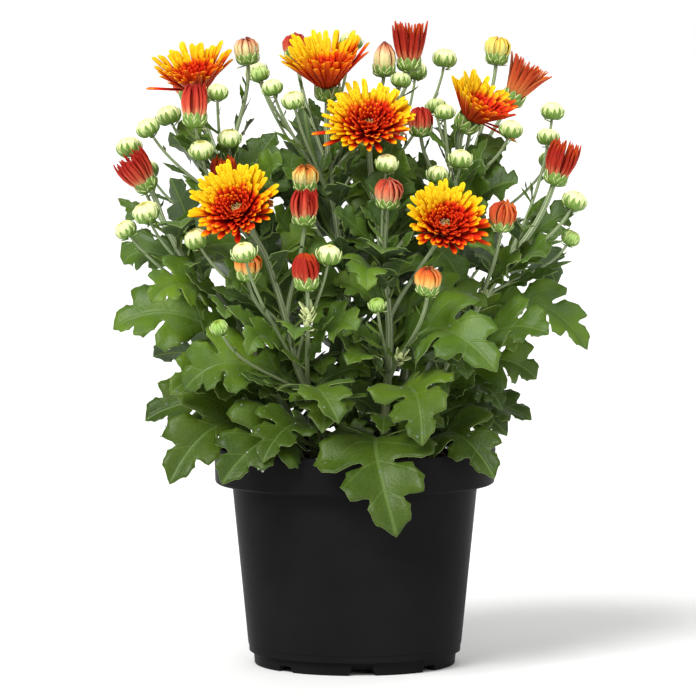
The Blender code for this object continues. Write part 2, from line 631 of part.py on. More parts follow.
# Stems and stalks, and what they and the heads take up
stem_paths = {shoot: stem_path(shoot) for shoot in STEMS}
twig_paths = {}
for index, row in enumerate(HEADS):
    if row[3]:
        twig_paths[index] = twig_path(stem_paths[row[2]], row)
for shoot, path in stem_paths.items():
    take_path(path, (STEM_FOOT_RADIUS + STEM_ROOM) * MM, shoot)
for index, path in twig_paths.items():
    take_path(path, (TWIG_RADIUS + TWIG_ROOM) * MM, HEADS[index][2])
rng = random.Random(SEED)
petal_rows = {}
for index, row in enumerate(HEADS):
    name, kind, shoot, height, seat, axis, radius, length = row
    axis = Vector(axis).normalized()
    if kind == "bud":
        take(metres(seat), (radius + BUD_ROOM) * MM, shoot)
    elif kind == "bloom":
        petal_rows[index] = bloom_petals(row, rng)
        stand = facing(metres(seat), axis)
        take(metres(seat), CORE_ROOM * MM, name)
        take(metres(seat) - axis * 4 * MM, CUP_ROOM * MM, shoot)
        for root, lean, turn, reach in petal_rows[index]:
            way = Matrix.Rotation(math.radians(turn), 3, "Z") @ Vector(
                (math.cos(math.radians(lean)), 0.0, math.sin(math.radians(lean))))
            for share in (0.45, 0.6, 0.75, 0.9, 1.03):
                take(stand @ (petal_foot(turn, root) + way * reach * share * MM), PETAL_ROOM * MM, name)
    else:
        for share in (0.15, 0.5, 0.85):
            take(metres(seat) + axis * length * share * MM, (radius + HEAD_ROOM) * MM, name)
        take(metres(seat) - axis * 3 * MM, CUP_ROOM * MM, shoot)

# Leaves: those set by hand, then the rest up each stem, then narrow bracts on the stalks
leaf_specs = {shoot: [] for shoot in STEMS}
dropped = 0
for shoot, height, bend, tip, width, roll in LEAVES:
    base, along = point_at_height(stem_paths[shoot], height)
    spec = place_leaf(shoot, base, metres(bend), metres(tip), width, roll, LARGE_EDGE, LARGE_RIB, False)
    if spec:
        leaf_specs[shoot].append(spec)
    else:
        dropped += 1
        print("left out hand leaf", shoot, height)
for shoot, path in stem_paths.items():
    top = STEMS[shoot][-1][2]
    height = LEAF_START
    turn = START_TURN[shoot]
    while height < top:
        base, along = point_at_height(path, height)
        share = (height - LEAF_START) / (top - LEAF_START)
        length = (LEAF_LOW_LENGTH + (LEAF_HIGH_LENGTH - LEAF_LOW_LENGTH) * share) * rng.uniform(0.92, 1.06)
        way = Matrix.Rotation(math.radians(turn), 3, "Z") @ Vector((1, 0, 0))
        rise = LOW_RISE + (HIGH_RISE - LOW_RISE) * share + rng.uniform(-0.08, 0.08)
        sag = LOW_SAG + (HIGH_SAG - LOW_SAG) * share + rng.uniform(-0.12, 0.12)
        bend = base + (way * 0.66 + Vector((0, 0, rise))) * length * MM
        tip = base + (way * 0.82 + Vector((0, 0, rise - sag))) * length * MM
        edge, rib = (MIDDLE_EDGE, MIDDLE_RIB) if share < 0.6 else (SMALL_EDGE, SMALL_RIB)
        spec = place_leaf(shoot, base, bend, tip, rng.uniform(0.54, 0.64), rng.uniform(-12, 12),
                          edge, rib, True)
        if spec:
            leaf_specs[shoot].append(spec)
        else:
            dropped += 1
        height += LEAF_STEP
        turn += LEAF_TURN
for index, path in twig_paths.items():
    if index % BRACT_EVERY:
        continue
    base = path[2]
    along = (path[3] - path[2]).normalized()
    way = Matrix.Rotation(rng.uniform(0, 2 * math.pi), 3, "Z") @ Vector((1, 0, 0))
    length = rng.uniform(9, 14)
    bend = base + (way * 0.5 + along * 0.3) * length * MM
    tip = base + (way * 0.7 + along * 0.8) * length * MM
    spec = place_leaf(HEADS[index][2], base, bend, tip, 0.0, 0.0, BRACT_EDGE, BRACT_RIB, True)
    if spec:
        leaf_specs[HEADS[index][2]].append(spec)
print("leaves", {k: len(v) for k, v in leaf_specs.items()}, "left out", dropped)

# Pot: one turned wall, with notches cut in the foot ring
pot_group = helper_group("pot_joins")
inner_foot = BODY_FOOT_RADIUS - WALL - 1.6
pot = turned("pot_blank", [
    (0.0, 4.6), (inner_foot, 4.6), (BODY_TOP_RADIUS - WALL, POT_HEIGHT - RIM_HEIGHT - 1.4),
    (RIM_RADIUS - WALL - 0.9, POT_HEIGHT - RIM_HEIGHT + 1.6), (RIM_RADIUS - WALL, POT_HEIGHT),
    (RIM_RADIUS - 0.4, POT_HEIGHT), (RIM_RADIUS, POT_HEIGHT - 0.8),
    (RIM_RADIUS - 0.6, POT_HEIGHT - RIM_HEIGHT + 1.2), (RIM_RADIUS - 1.8, POT_HEIGHT - RIM_HEIGHT),
    (BODY_TOP_RADIUS, POT_HEIGHT - RIM_HEIGHT - 1.2), (BODY_FOOT_RADIUS, FOOT_HEIGHT),
    (FOOT_RADIUS, FOOT_HEIGHT - 0.8), (FOOT_RADIUS - 0.6, 0.0), (FOOT_RADIUS - 3.6, 0.0),
    (FOOT_RADIUS - 3.8, 2.8), (0.0, 2.8)], POT_SIDES, pot_group)
for turn, wide, high in NOTCHES:
    bpy.ops.mesh.primitive_cube_add(size=1.0)
    notch = bpy.context.active_object
    notch.name = "notch_cutter"
    block = bmesh.new()
    block.from_mesh(notch.data)
    for corner in block.verts:
        half = wide * (NOTCH_TOP_SHARE if corner.co.z > 0 else NOTCH_FOOT_SHARE)
        corner.co.x = math.copysign(NOTCH_DEPTH / 2, corner.co.x)
        corner.co.y = math.copysign(half, corner.co.y)
        corner.co.z = high if corner.co.z > 0 else -2.0
        corner.co *= MM
    block.to_mesh(notch.data)
    block.free()
    notch.matrix_world = (Matrix.Rotation(math.radians(turn), 4, "Z")
                          @ Matrix.Translation((FOOT_RADIUS * MM, 0.0, 0.0)))
for cutter in [shape for shape in bpy.data.objects if "_cutter" in shape.name]:
    for group in list(cutter.users_collection):
        group.objects.unlink(cutter)
    cutters.objects.link(cutter)
    cutter.hide_render = True
    cutter.display_type = "WIRE"
    cut = pot.modifiers.new("cut", "BOOLEAN")
    cut.operation = "DIFFERENCE"
    cut.object = cutter
    cut.solver = "EXACT"
pot_joins = helper_group("pot_extra")
pot_group.objects.unlink(pot)
parts.objects.link(pot)
fused("pot", pot, pot_joins, "pot")
bpy.data.collections.remove(pot_group)

# Soil: one turned plug with a low mound and a plain hole for every stem
soil_joins = helper_group("soil_extra")
soil = turned("soil_blank", [
    (0.0, SOIL_TOP + SOIL_MOUND), (46.0, SOIL_TOP + 0.9), (RIM_RADIUS - WALL - GAP - 1.4, SOIL_TOP - 1.4),
    (RIM_RADIUS - WALL - GAP - 1.4, POT_HEIGHT - RIM_HEIGHT + 1.6 + GAP),
    (BODY_TOP_RADIUS - WALL - GAP - 0.6, POT_HEIGHT - RIM_HEIGHT - 1.4),
    (inner_foot - GAP - 0.6, 4.6 + GAP), (0.0, 4.6 + GAP)], SOIL_SIDES, parts)
for shoot, path in stem_paths.items():
    bpy.ops.mesh.primitive_cylinder_add(
        vertices=HOLE_SIDES, radius=(STEM_FOOT_RADIUS + HOLE_ROOM) * MM, depth=(HOLE_DEPTH + HOLE_OVER) * MM,
        location=(path[0].x, path[0].y, (SOIL_TOP - HOLE_DEPTH + (HOLE_DEPTH + HOLE_OVER) / 2) * MM))
    hole = bpy.context.active_object
    hole.name = "hole_" + shoot
    for group in list(hole.users_collection):
        group.objects.unlink(hole)
    cutters.objects.link(hole)
    hole.hide_render = True
    hole.display_type = "WIRE"
    cut = soil.modifiers.new("hole", "BOOLEAN")
    cut.operation = "DIFFERENCE"
    cut.object = hole
    cut.solver = "EXACT"
fused("soil", soil, soil_joins, "soil")

# Leafy shoots: stem, stalks with their green cups or buds, and leaves fused

def headed(path, radii, row):
    """The path and radii carried on through the bud or cup at the end."""
    name, kind, shoot, height, seat, axis, radius, length = row
    axis = Vector(axis).normalized()
    path = path[:-1]
    radii = radii[:-1]
    if kind == "bud":
        for along, wide in BUD_RINGS:
            path.append(metres(seat) + axis * along * radius * MM)
            radii.append(max(1.1, wide * radius))
    else:
        for along, wide in CUP_RINGS:
            path.append(metres(seat) + axis * along * CALYX_DROP[kind] * MM)
            radii.append(max(STEM_TIP_RADIUS, wide * CUP_RADIUS[kind]))
    return path, radii


for shoot, path in stem_paths.items():
    group = helper_group("joins_" + shoot)
    reach = len(path) - 1
    radii = [STEM_FOOT_RADIUS + (STEM_TIP_RADIUS - STEM_FOOT_RADIUS) * max(0, i - 1) / (reach - 1)
             for i in range(reach + 1)]
    for index, row in enumerate(HEADS):
        if row[2] != shoot:
            continue
        if row[3]:
            stalk = twig_paths[index]
            level = (stalk[1] - stalk[0]).normalized()
            stalk_with_head("stalk", *headed(stalk, [TWIG_RADIUS] * len(stalk), row), level, 2, group)
        else:
            lead_path, lead_radii = headed(path, radii, row)
    steady = len(STEMS[shoot]) + 1
    stem = stalk_with_head("stem_" + shoot, lead_path, lead_radii, Vector((0, 0, 1)), steady, parts)
    for spec in leaf_specs[shoot]:
        build_leaf("leaf", spec, group)
    fused("shoot_" + shoot, stem, group, "leaf")

# Open blooms: a small core with two layers of petals fused to it
for index, petals in petal_rows.items():
    name, kind, shoot, height, seat, axis, radius, length = HEADS[index]
    group = helper_group("joins_" + name)
    core = turned("core", CORE_PROFILE, CORE_SIDES, parts)
    stand = facing(metres(seat), Vector(axis))
    for root, lean, turn, reach in petals:
        rings = []
        for share, wide in PETAL_SHARES:
            half = PETAL_WIDTH * wide / 2
            rings.append([Vector((reach * share, -half, PETAL_THICKNESS * 0.45)) * MM,
                          Vector((reach * share, 0.0, -PETAL_THICKNESS * 0.55)) * MM,
                          Vector((reach * share, half, PETAL_THICKNESS * 0.45)) * MM])
        petal = loft("petal", rings, group)
        petal.matrix_world = (stand @ Matrix.Rotation(math.radians(turn), 4, "Z")
                              @ Matrix.Translation((PETAL_RING * MM, 0.0, root * MM))
                              @ Matrix.Rotation(math.radians(-lean), 4, "Y"))
    core.matrix_world = stand
    fused(name, core, group, "bloom")

# Half-open heads: a fluted crown of petals; closed coloured buds: a fluted dome
for row in HEADS:
    name, kind, shoot, height, seat, axis, radius, length = row
    if kind not in FLUTES:
        continue
    rings = []
    for along, wide, pinch, sink in (CROWN if kind == "brush" else DOME):
        ring = []
        for i in range(2 * FLUTES[kind]):
            turn = math.pi * i / FLUTES[kind]
            odd = i % 2
            around = radius * (wide - pinch * odd)
            rise = GAP + length * (along - sink * odd)
            ring.append(Vector((around * math.cos(turn), around * math.sin(turn), rise)) * MM)
        rings.append(ring)
    head = loft("head", rings, parts)
    head.matrix_world = facing(metres(seat), Vector(axis))
    fused(name, head, helper_group("joins_" + name), kind)

total = 0
for node in parts.objects:
    total += len(node.data.polygons)
print("nodes", len(parts.objects), "triangles", total)
for node in parts.objects:
    print("  ", node.name, len(node.data.polygons))
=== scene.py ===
# Pot chrysanthemum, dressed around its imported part. Layout tables are in millimetres, front is -Y.
import math
import random

import bmesh
import bpy
import numpy as np
from mathutils import Matrix, Vector, geometry, noise


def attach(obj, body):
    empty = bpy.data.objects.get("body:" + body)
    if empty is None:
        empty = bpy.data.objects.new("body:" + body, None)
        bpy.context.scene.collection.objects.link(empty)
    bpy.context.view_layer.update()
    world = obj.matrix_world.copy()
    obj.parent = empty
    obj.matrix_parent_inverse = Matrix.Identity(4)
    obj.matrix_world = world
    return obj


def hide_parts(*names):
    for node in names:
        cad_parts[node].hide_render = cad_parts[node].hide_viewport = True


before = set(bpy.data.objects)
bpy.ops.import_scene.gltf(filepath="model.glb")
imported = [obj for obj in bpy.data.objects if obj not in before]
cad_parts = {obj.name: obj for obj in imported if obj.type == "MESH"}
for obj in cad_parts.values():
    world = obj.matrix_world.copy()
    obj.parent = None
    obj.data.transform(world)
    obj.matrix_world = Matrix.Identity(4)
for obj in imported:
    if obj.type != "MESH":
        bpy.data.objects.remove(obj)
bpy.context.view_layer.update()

mm = 0.001
seed = 23
goldenTurn = 137.508  # degrees from one petal to the next round a head

cameraView = {
    "place": (-0.0034, -2.195, 0.310),
    "aim": (-0.0034, 0.0, 0.157),
    "sensor": 36.0,
    "distance": 2.2,
    "metresPerPixel": 0.4965e-3,
    "pixels": 696,
}


def newObject(name, data):
    made = bpy.data.objects.new(name, data)
    bpy.context.scene.collection.objects.link(made)
    return made


def makeCamera():
    look = cameraView
    data = bpy.data.cameras.new("photoCamera")
    data.sensor_width = look["sensor"]
    data.lens = look["sensor"] * look["distance"] / (look["pixels"] * look["metresPerPixel"])
    camera = newObject("photoCamera", data)
    camera.location = look["place"]
    way = Vector(look["aim"]) - Vector(look["place"])
    camera.rotation_euler = way.to_track_quat("-Z", "Y").to_euler()
    bpy.context.scene.camera = camera


makeCamera()
print("camera ready")

potLook = {
    "height": 108.0,
    "rimRadius": 70.0,
    "rimHeight": 18.0,
    "bodyTopRadius": 61.0,
    "bodyFootRadius": 52.7,
    "footRadius": 50.4,
    "footHeight": 6.6,
    "wall": 1.6,
    "sides": 176,
    # angle round the foot, width at the bottom, height
    "notches": [(-86.0, 14.0, 4.9), (-133.0, 10.0, 3.0), (-43.0, 10.0, 3.0), (90.0, 14.0, 4.9)],
    "notchDepth": 8.0,
    "notchTopShare": 0.36,
    "notchFootShare": 0.52,
    # shallow step round a notch: depth, width share, extra height, and how tall a notch has to be for one
    "notchStep": (1.5, 1.8, 0.9, 4.0),
    "notchStepShift": 0.35,
    "baseLift": 2.8,
    "baseThickness": 1.8,
}
soilLook = {
    "top": 98.0,
    "mound": 2.4,
    "gap": 0.3,
    "holeDepth": 12.0,
    "rings": 40,
    "sides": 110,
    "crumbs": 320,
    "crumbSizes": (0.8, 1.1, 1.5, 2.1, 2.8),
    "seed": 5,
}
stemLook = {
    "footRadius": 2.5,
    "twigRadius": 1.15,
    # points between knots in the part's own stems, and in those that are seen
    "stemSteps": 1,
    "twigSteps": 3,
    "leadSteps": 3,
    "seenStemSteps": 8,
    "seenTwigSteps": 14,
    "seenLeadSteps": 10,
    "stalkLean": 1.4,
    "stalkPull": 0.3,
    "headPull": 0.36,
    "leadPull": 0.35,
    "leadHeadPull": 0.4,
}
cupLook = {
    "drop": {"bloom": 7.0, "brush": 6.0, "tight": 5.0},
    "radius": {"bloom": 6.4, "brush": 5.8, "tight": 5.6},
    "sink": 2.0,
}
# The part's own plain petals, which the leaves are kept clear of. Layers: petals, lift, length share
solidBloom = {
    "layers": [(11, 0.0, 1.0), (7, 24.0, 0.76)],
    "ring": 2.4,
    "root": 2.0,
    "rise": 2.0,
    "mostLean": 78.0,
    "marks": (0.45, 0.6, 0.75, 0.9, 1.03),  # shares of a petal's length at which it takes up room
}
# Room kept round each thing when leaves are placed
room = {
    "stem": 1.2,
    "twig": 1.4,
    "bud": 0.8,
    "head": 1.0,
    "cup": 6.0,
    "bloomCupDrop": 4.0,
    "headCupDrop": 3.0,
    "headMarks": (0.15, 0.5, 0.85),
    "core": 7.0,
    "petal": 3.0,
    "leaf": 1.9 * mm,
    "cell": 12.0 * mm,
    "pathSpacing": 3.0,
    "sheetSpacing": 4.5,
    "freeShare": 0.42,
    "ownShare": 0.8,
    "pot": 2.0,
    "floor": 4.0,
    "side": 118.0,
    "depth": 96.0,
}
# Leaves up each stem: first height, step and turn between them. Pairs run from low to high on the stem,
# and a third value is how far each leaf may differ
leafRule = {
    "start": 112.0,
    "step": 16.0,
    "topHeight": 0.0,  # none, so up to the stem's own top
    "firstTurn": 0.0,
    "turn": 137.5,
    "length": (62.0, 44.0),
    "lengthChange": (0.92, 1.06),
    "rise": (0.36, 0.52, 0.08),
    "sag": (0.56, 0.06, 0.12),
    "out": (0.66, 0.82),  # how far out its bend and its tip stand
    "width": (0.54, 0.64),
    "roll": 12.0,
    "smallFrom": 0.6,
    "fold": 14.0,
    "faceTurn": 1.1,
    "faceSplit": 14.0,
    "bractEvery": 12,
    "bractLength": (9, 14),
    "startTurn": {"left": 190, "back_left": 120, "front_left": 250, "centre": 20, "front_right": 300,
                  "back_right": 60, "right": 350, "back": 90},
    # turn and lift tried on a leaf until it stands clear
    "tries": [(0, 0), (10, 0), (-10, 0), (0, 8), (0, -8), (20, 0), (-20, 0), (14, 10), (-14, 10), (14, -10),
              (-14, -10), (30, 0), (-30, 0), (24, 16), (-24, 16), (42, 0), (-42, 0), (0, 20), (0, -20),
              (54, 8), (-54, 8), (20, -20), (-20, -20), (20, 26), (-20, 26), (0, 34), (0, -34), (70, 0),
              (-70, 0)],
    "sizes": [1.0, 0.86, 0.74],
}
# Half outline of the part's plain leaves: along, sideways, and the rib point it hangs on
leafCuts = {
    "large": {"edge": [(0.0, 0.032, 0), (0.17, 0.032, 0), (0.35, 0.40, 1), (0.44, 0.22, 1), (0.61, 0.50, 1),
                       (0.69, 0.27, 2), (0.87, 0.28, 2)],
              "rib": [0.17, 0.50, 0.77, 1.0]},
    "middle": {"edge": [(0.0, 0.032, 0), (0.17, 0.032, 0), (0.44, 0.48, 1), (0.54, 0.26, 1),
                        (0.82, 0.38, 1)],
               "rib": [0.17, 0.54, 1.0]},
    "small": {"edge": [(0.0, 0.036, 0), (0.16, 0.036, 0), (0.52, 0.46, 1), (0.66, 0.26, 1)],
              "rib": [0.16, 0.56, 1.0]},
    "bract": {"edge": [(0.0, 0.06, 0), (0.5, 0.09, 0)], "rib": [0.5, 1.0]},
}

# Main stem of each shoot, from the soil up; the last point is where its leading head sits
stems = {
    "left": [(-27, -8, 101), (-33, -11, 125), (-50, -14, 155), (-66, -15, 181), (-82, -16, 199),
             (-93, -16, 218)],
    "back_left": [(-20, 14, 101), (-24, 11, 140), (-34, 3, 180), (-48, -5, 210), (-59, -9, 230),
                  (-68, -3, 252)],
    "front_left": [(-14, -24, 101), (-18, -29, 125), (-28, -37, 150), (-34, -38, 175), (-42, -33, 200)],
    "centre": [(0, 4, 101), (-1, 4, 140), (-4, 2, 180), (-9, 0, 220), (-13, 0, 252)],
    "front_right": [(14, -24, 101), (15, -28, 130), (17, -31, 165), (14, -27, 200), (9, -15, 235)],
    "back_right": [(20, 14, 101), (24, 11, 140), (33, 5, 180), (43, 3, 215), (51, 4, 245)],
    "right": [(28, -8, 101), (34, -11, 125), (50, -14, 160), (68, -16, 190), (84, -17, 212)],
    "back": [(2, 30, 101), (2, 35, 135), (1, 42, 170), (2, 47, 205), (4, 50, 234)],
}

# Heads: name, kind, shoot, height where the stalk leaves the stem (0 for the leading head), seat, facing,
# radius, and length or, in a bloom, the lean of its outer petals
heads = [
    ("bloom_top_left", "bloom", "back_left", 0, (-78, 7, 284.5), (-0.15, -0.48, 0.87), 23, 40),
    ("bloom_top", "bloom", "centre", 0, (-13.5, 0, 286.5), (0.02, -0.28, 0.96), 28, 55),
    ("bloom_upper_middle", "bloom", "front_right", 0, (6.9, -20, 265.5), (0.0, -0.7, 0.71), 23, 16),
    ("bloom_left", "bloom", "front_left", 0, (-56.5, -44, 226), (-0.2, -0.88, 0.43), 24.5, 30),
    ("bloom_right", "bloom", "front_right", 172, (43, -45, 218), (0.18, -0.84, 0.51), 21.5, 22),
    ("bloom_top_right", "bloom", "back_right", 0, (57, 4, 270.5), (0.5, -0.38, 0.78), 23, 43),
    ("bloom_back_middle", "bloom", "back", 0, (8, 60, 264), (0.05, 0.62, 0.78), 22.5, 22),
    ("bloom_back_left", "bloom", "back", 165, (-57, 58, 226), (-0.2, 0.78, 0.6), 21.5, 20),
    ("half_open_far_left", "brush", "left", 0, (-104, -16, 241), (-0.58, -0.2, 0.79), 8.2, 14.5),
    ("half_open_top_left", "brush", "back_left", 248, (-78, -33, 273.5), (0.0, -0.05, 1.0), 6.6, 14),
    ("half_open_top", "brush", "centre", 240, (27, 16, 300), (0.0, 0.0, 1.0), 8.4, 18),
    ("half_open_top_right", "brush", "back_right", 222, (80.5, 37, 282.5), (0.5, 0.0, 0.87), 10.5, 17),
    ("half_open_far_right", "brush", "right", 0, (99.3, -18, 244.5), (0.3, -0.1, 0.95), 8.0, 16),
    ("half_open_behind_left", "brush", "back_left", 222, (-64, -22, 240.5), (-0.05, -0.3, 0.95), 6.0, 12),
    ("half_open_lower_middle", "brush", "front_left", 135, (-23.5, -72, 196), (-0.08, -0.15, 0.98), 6.6, 11),
    ("half_open_back_right", "brush", "back", 160, (45.8, 64, 219.4), (0.2, 0.5, 0.84), 7.8, 14),
    ("half_open_back_left", "brush", "back_left", 205, (-83.2, 43, 284.5), (-0.3, 0.3, 0.9), 7.5, 14),
    ("half_open_right", "tight", "right", 172, (71.5, -42, 222), (0.1, -0.25, 0.95), 7.4, 9),
    ("half_open_left_middle", "tight", "front_left", 172, (-24.7, -45, 224.5), (0.0, -0.1, 1.0), 7.0, 12),
    ("half_open_upper_right", "tight", "back_right", 225, (32.6, 0, 267), (0.0, -0.15, 0.98), 6.0, 9),
    ("colour_bud_middle", "tight", "front_right", 190, (16, -44, 233), (0.05, -0.3, 0.95), 6.8, 9),
    ("colour_bud_lower_right", "tight", "front_right", 140, (35, -71, 192.5), (0.05, -0.3, 0.97), 6.8, 8.5),
    ("colour_bud_lower_left", "tight", "front_left", 158, (-52, -52, 198.5), (0.0, -0.3, 0.95), 6.6, 8),
    ("colour_bud_top", "tight", "centre", 246, (14.5, 15, 296.5), (0.0, -0.05, 1.0), 6.4, 11),
    ("colour_bud_top_left", "tight", "back_left", 240, (-53.5, 10, 302.5), (-0.1, -0.1, 0.98), 6.1, 8),
    ("colour_bud_behind_top", "tight", "centre", 236, (-29.5, 30, 304), (-0.1, 0.1, 0.97), 6.0, 9),
    ("colour_bud_upper_left", "tight", "centre", 190, (-24.4, -27, 240.5), (0.0, -0.2, 1.0), 6.5, 8),
    ("colour_bud_top_right", "tight", "back_right", 208, (71.5, 35, 302.5), (0.1, 0.0, 1.0), 6.2, 8.5),
    ("colour_bud_back_right", "tight", "back_right", 195, (60.3, 49, 279), (0.1, 0.3, 0.95), 6.6, 10),
]
# Closed green buds: shoot, height where the stalk leaves the stem, middle, facing and radius
buds = [
    ("left", 205, (-112.2, 10, 256.5), (-0.2, 0.1, 0.97), 6.2),
    ("back_left", 218, (-101.9, -18, 267), (-0.45, -0.1, 0.88), 6.0),
    ("back_left", 224, (-92.2, -3, 272.6), (-0.35, 0.0, 0.93), 6.2),
    ("left", 178, (-101.9, -36, 225.9), (-0.3, -0.3, 0.9), 6.4),
    ("left", 168, (-112.6, -22, 217), (-0.5, -0.2, 0.84), 5.4),
    ("back_left", 240, (-67.3, -25, 284.5), (0.0, -0.1, 1.0), 5.4),
    ("back_left", 192, (-75, -31, 256), (-0.1, -0.3, 0.95), 5.8),
    ("back_left", 228, (-61.5, -22, 261.5), (0.0, -0.2, 0.98), 5.6),
    ("front_left", 146, (-53.5, -74, 208.3), (-0.2, -0.3, 0.93), 6.0),
    ("front_left", 165, (-77, -48, 213.7), (-0.35, -0.2, 0.9), 6.0),
    ("front_left", 150, (-12.5, -72, 207.1), (0.1, -0.2, 0.97), 6.2),
    ("front_left", 132, (-65.3, -74, 172.1), (-0.3, -0.4, 0.86), 4.2),
    ("centre", 232, (-47, -4, 292.8), (-0.25, 0.0, 0.96), 4.6),
    ("centre", 226, (-40.8, -15, 286.5), (-0.25, -0.1, 0.96), 5.2),
    ("centre", 222, (-30.3, -25, 280.2), (-0.2, -0.2, 0.96), 5.4),
    ("centre", 250, (-2, 30, 309), (0.1, 0.1, 0.99), 5.6),
    ("centre", 225, (23, 2, 290), (0.15, 0.0, 0.98), 5.0),
    ("centre", 206, (45, 20, 300.6), (0.1, 0.0, 0.99), 6.0),
    ("front_right", 205, (15.5, -37, 250), (0.1, -0.3, 0.95), 5.6),
    ("front_right", 145, (10.5, -74, 183), (-0.1, -0.4, 0.9), 4.0),
    ("front_right", 195, (40.7, -20, 244), (0.1, -0.1, 0.98), 5.8),
    ("back_right", 228, (76.7, -14, 266), (0.2, -0.1, 0.97), 5.8),
    ("back_right", 205, (51.6, -28, 252), (0.1, -0.2, 0.97), 5.8),
    ("back_right", 236, (40.2, 12, 277), (-0.1, 0.1, 0.98), 5.0),
    ("back_right", 232, (44.2, -9, 274.5), (0.0, -0.1, 0.99), 5.0),
    ("right", 200, (98.2, 6, 274.4), (0.1, 0.0, 0.99), 5.6),
    ("right", 195, (95.5, -6, 262), (0.1, 0.0, 0.99), 5.6),
    ("right", 190, (107.5, -30, 231.5), (0.35, -0.1, 0.92), 6.0),
    ("right", 182, (106, -20, 212.5), (0.4, -0.1, 0.9), 4.4),
    ("back", 185, (-26, 76, 222), (-0.2, 0.4, 0.88), 6.0),
    ("back", 172, (8, 82, 200), (0.0, 0.5, 0.86), 5.8),
    ("back", 196, (31, 54, 294), (0.1, 0.2, 0.97), 5.8),
    ("back", 195, (-50, 50, 294), (-0.3, 0.1, 0.94), 5.6),
    ("back_right", 172, (66, 62, 200), (0.3, 0.4, 0.85), 5.8),
    ("back_right", 195, (98, 30, 249), (0.5, 0.2, 0.84), 5.6),
    ("back_left", 188, (-104, 28, 244), (-0.5, 0.2, 0.84), 5.8),
]
heads += [("bud", "bud", *row, 0) for row in buds]

# Leaves set from the picture: shoot, height on the stem, bend point, tip, width share,
# roll in degrees
leaves = [
    ("front_right", 112, (8, -90, 134), (20, -94, 73), 0.66, 0),
    ("left", 148, (-88, -22, 186), (-120.0, -20, 167), 0.60, 0),
    ("right", 176, (95, -24, 200), (114.5, -24, 157), 0.47, 0),
    ("back", 112, (6, 86, 136), (10, 96.8, 92), 0.60, 0),
    ("front_left", 108, (-45, -62, 138), (-64, -78, 97), 0.60, -8),
    ("left", 108, (-70, -42, 136), (-88, -52, 84), 0.56, -6),
    ("right", 108, (58, -40, 138), (76, -54, 98), 0.56, 8),
    ("front_right", 132, (24, -76, 158), (32, -93, 117), 0.60, 6),
    ("front_right", 152, (34, -70, 186), (43, -92, 132), 0.62, 8),
    ("front_left", 128, (-10, -72, 160), (3, -88, 128), 0.58, -6),
    ("front_left", 138, (-58, -66, 166), (-79, -62, 140), 0.60, -8),
    ("front_left", 118, (-30, -72, 140), (-38, -92, 106), 0.56, 0),
    ("left", 118, (-74, -14, 142), (-104, -12, 122), 0.58, 0),
    ("left", 172, (-90, -38, 204), (-104, -40, 182), 0.56, -10),
    ("left", 140, (-80, 12, 166), (-101, 16, 152), 0.56, 10),
    ("left", 132, (-66, -38, 156), (-90, -48, 138), 0.56, -10),
    ("left", 202, (-74, -2, 216), (-84, 8, 246), 0.80, 0),
    ("right", 156, (74, -46, 178), (94, -54, 168), 0.62, 0),
    ("right", 130, (62, -34, 166), (80, -44, 142), 0.62, 8),
    ("right", 118, (62, -4, 140), (88, -6, 122), 0.58, 0),
    ("right", 184, (96, 4, 214), (111, 4, 188), 0.58, 0),
    ("right", 204, (98, 2, 222), (109, -4, 226), 0.66, 0),
    ("back_left", 216, (-50, 8, 240), (-42, 14, 262), 0.80, 0),
    ("back_left", 190, (-58, -30, 206), (-82, -34, 196), 0.60, 0),
    ("back_right", 208, (62, -6, 226), (72, -12, 246), 0.70, 0),
    ("back_right", 190, (46, 20, 222), (58, 20, 240), 0.70, 0),
    ("front_right", 180, (8, -60, 214), (6, -72, 190), 0.60, 0),
    ("front_right", 170, (44, -40, 196), (60, -52, 180), 0.56, 0),
    ("centre", 200, (14, -8, 224), (26, -14, 232), 0.60, 0),
    ("centre", 188, (-30, -6, 214), (-36, -20, 228), 0.60, 0),
    ("back", 128, (-34, 74, 158), (-44, 86, 124), 0.60, 0),
    ("back", 140, (36, 76, 166), (48, 84, 136), 0.60, 0),
    ("back", 158, (-10, 82, 188), (-14, 92, 160), 0.58, 0),
]


def metres(row):
    return Vector(row) * mm


def between(low, high, share):
    return low + (high - low) * share


def clamp(value, low=0.0, high=1.0):
    return min(high, max(low, value))


# A level direction, for a turn in radians
def levelWay(turn):
    return Matrix.Rotation(turn, 3, "Z") @ Vector((1, 0, 0))


# The matrix that stands a shape's +Z along the axis at the seat
def facing(seat, axis):
    turn = axis.normalized().to_track_quat("Z", "Y").to_matrix().to_4x4()
    return Matrix.Translation(seat) @ turn


# A curve through the knots, a few points between each two
def smoothPath(knots, steps):
    rows = [knots[0] * 2 - knots[1]] + knots + [knots[-1] * 2 - knots[-2]]
    path = []
    for a, b, c, d in zip(rows, rows[1:], rows[2:], rows[3:]):
        for i in range(steps):
            s = i / steps
            path.append(0.5 * (2 * b + (c - a) * s + (2 * a - 5 * b + 4 * c - d) * s * s
                               + (3 * b - a - 3 * c + d) * s ** 3))
    return path + [knots[-1]]


# A cubic curve from a to d
def bow(a, b, c, d, steps):
    path = []
    for i in range(steps + 1):
        s = i / steps
        path.append(a * (1 - s) ** 3 + b * 3 * s * (1 - s) ** 2 + c * 3 * s * s * (1 - s) + d * s ** 3)
    return path


# Where a stalk ends under its head, and which way it runs there
def headFoot(kind, seat, axis):
    axis = Vector(axis).normalized()
    drop = 0.0 if kind == "bud" else cupLook["drop"][kind] - cupLook["sink"]
    return metres(seat) - axis * drop * mm, axis


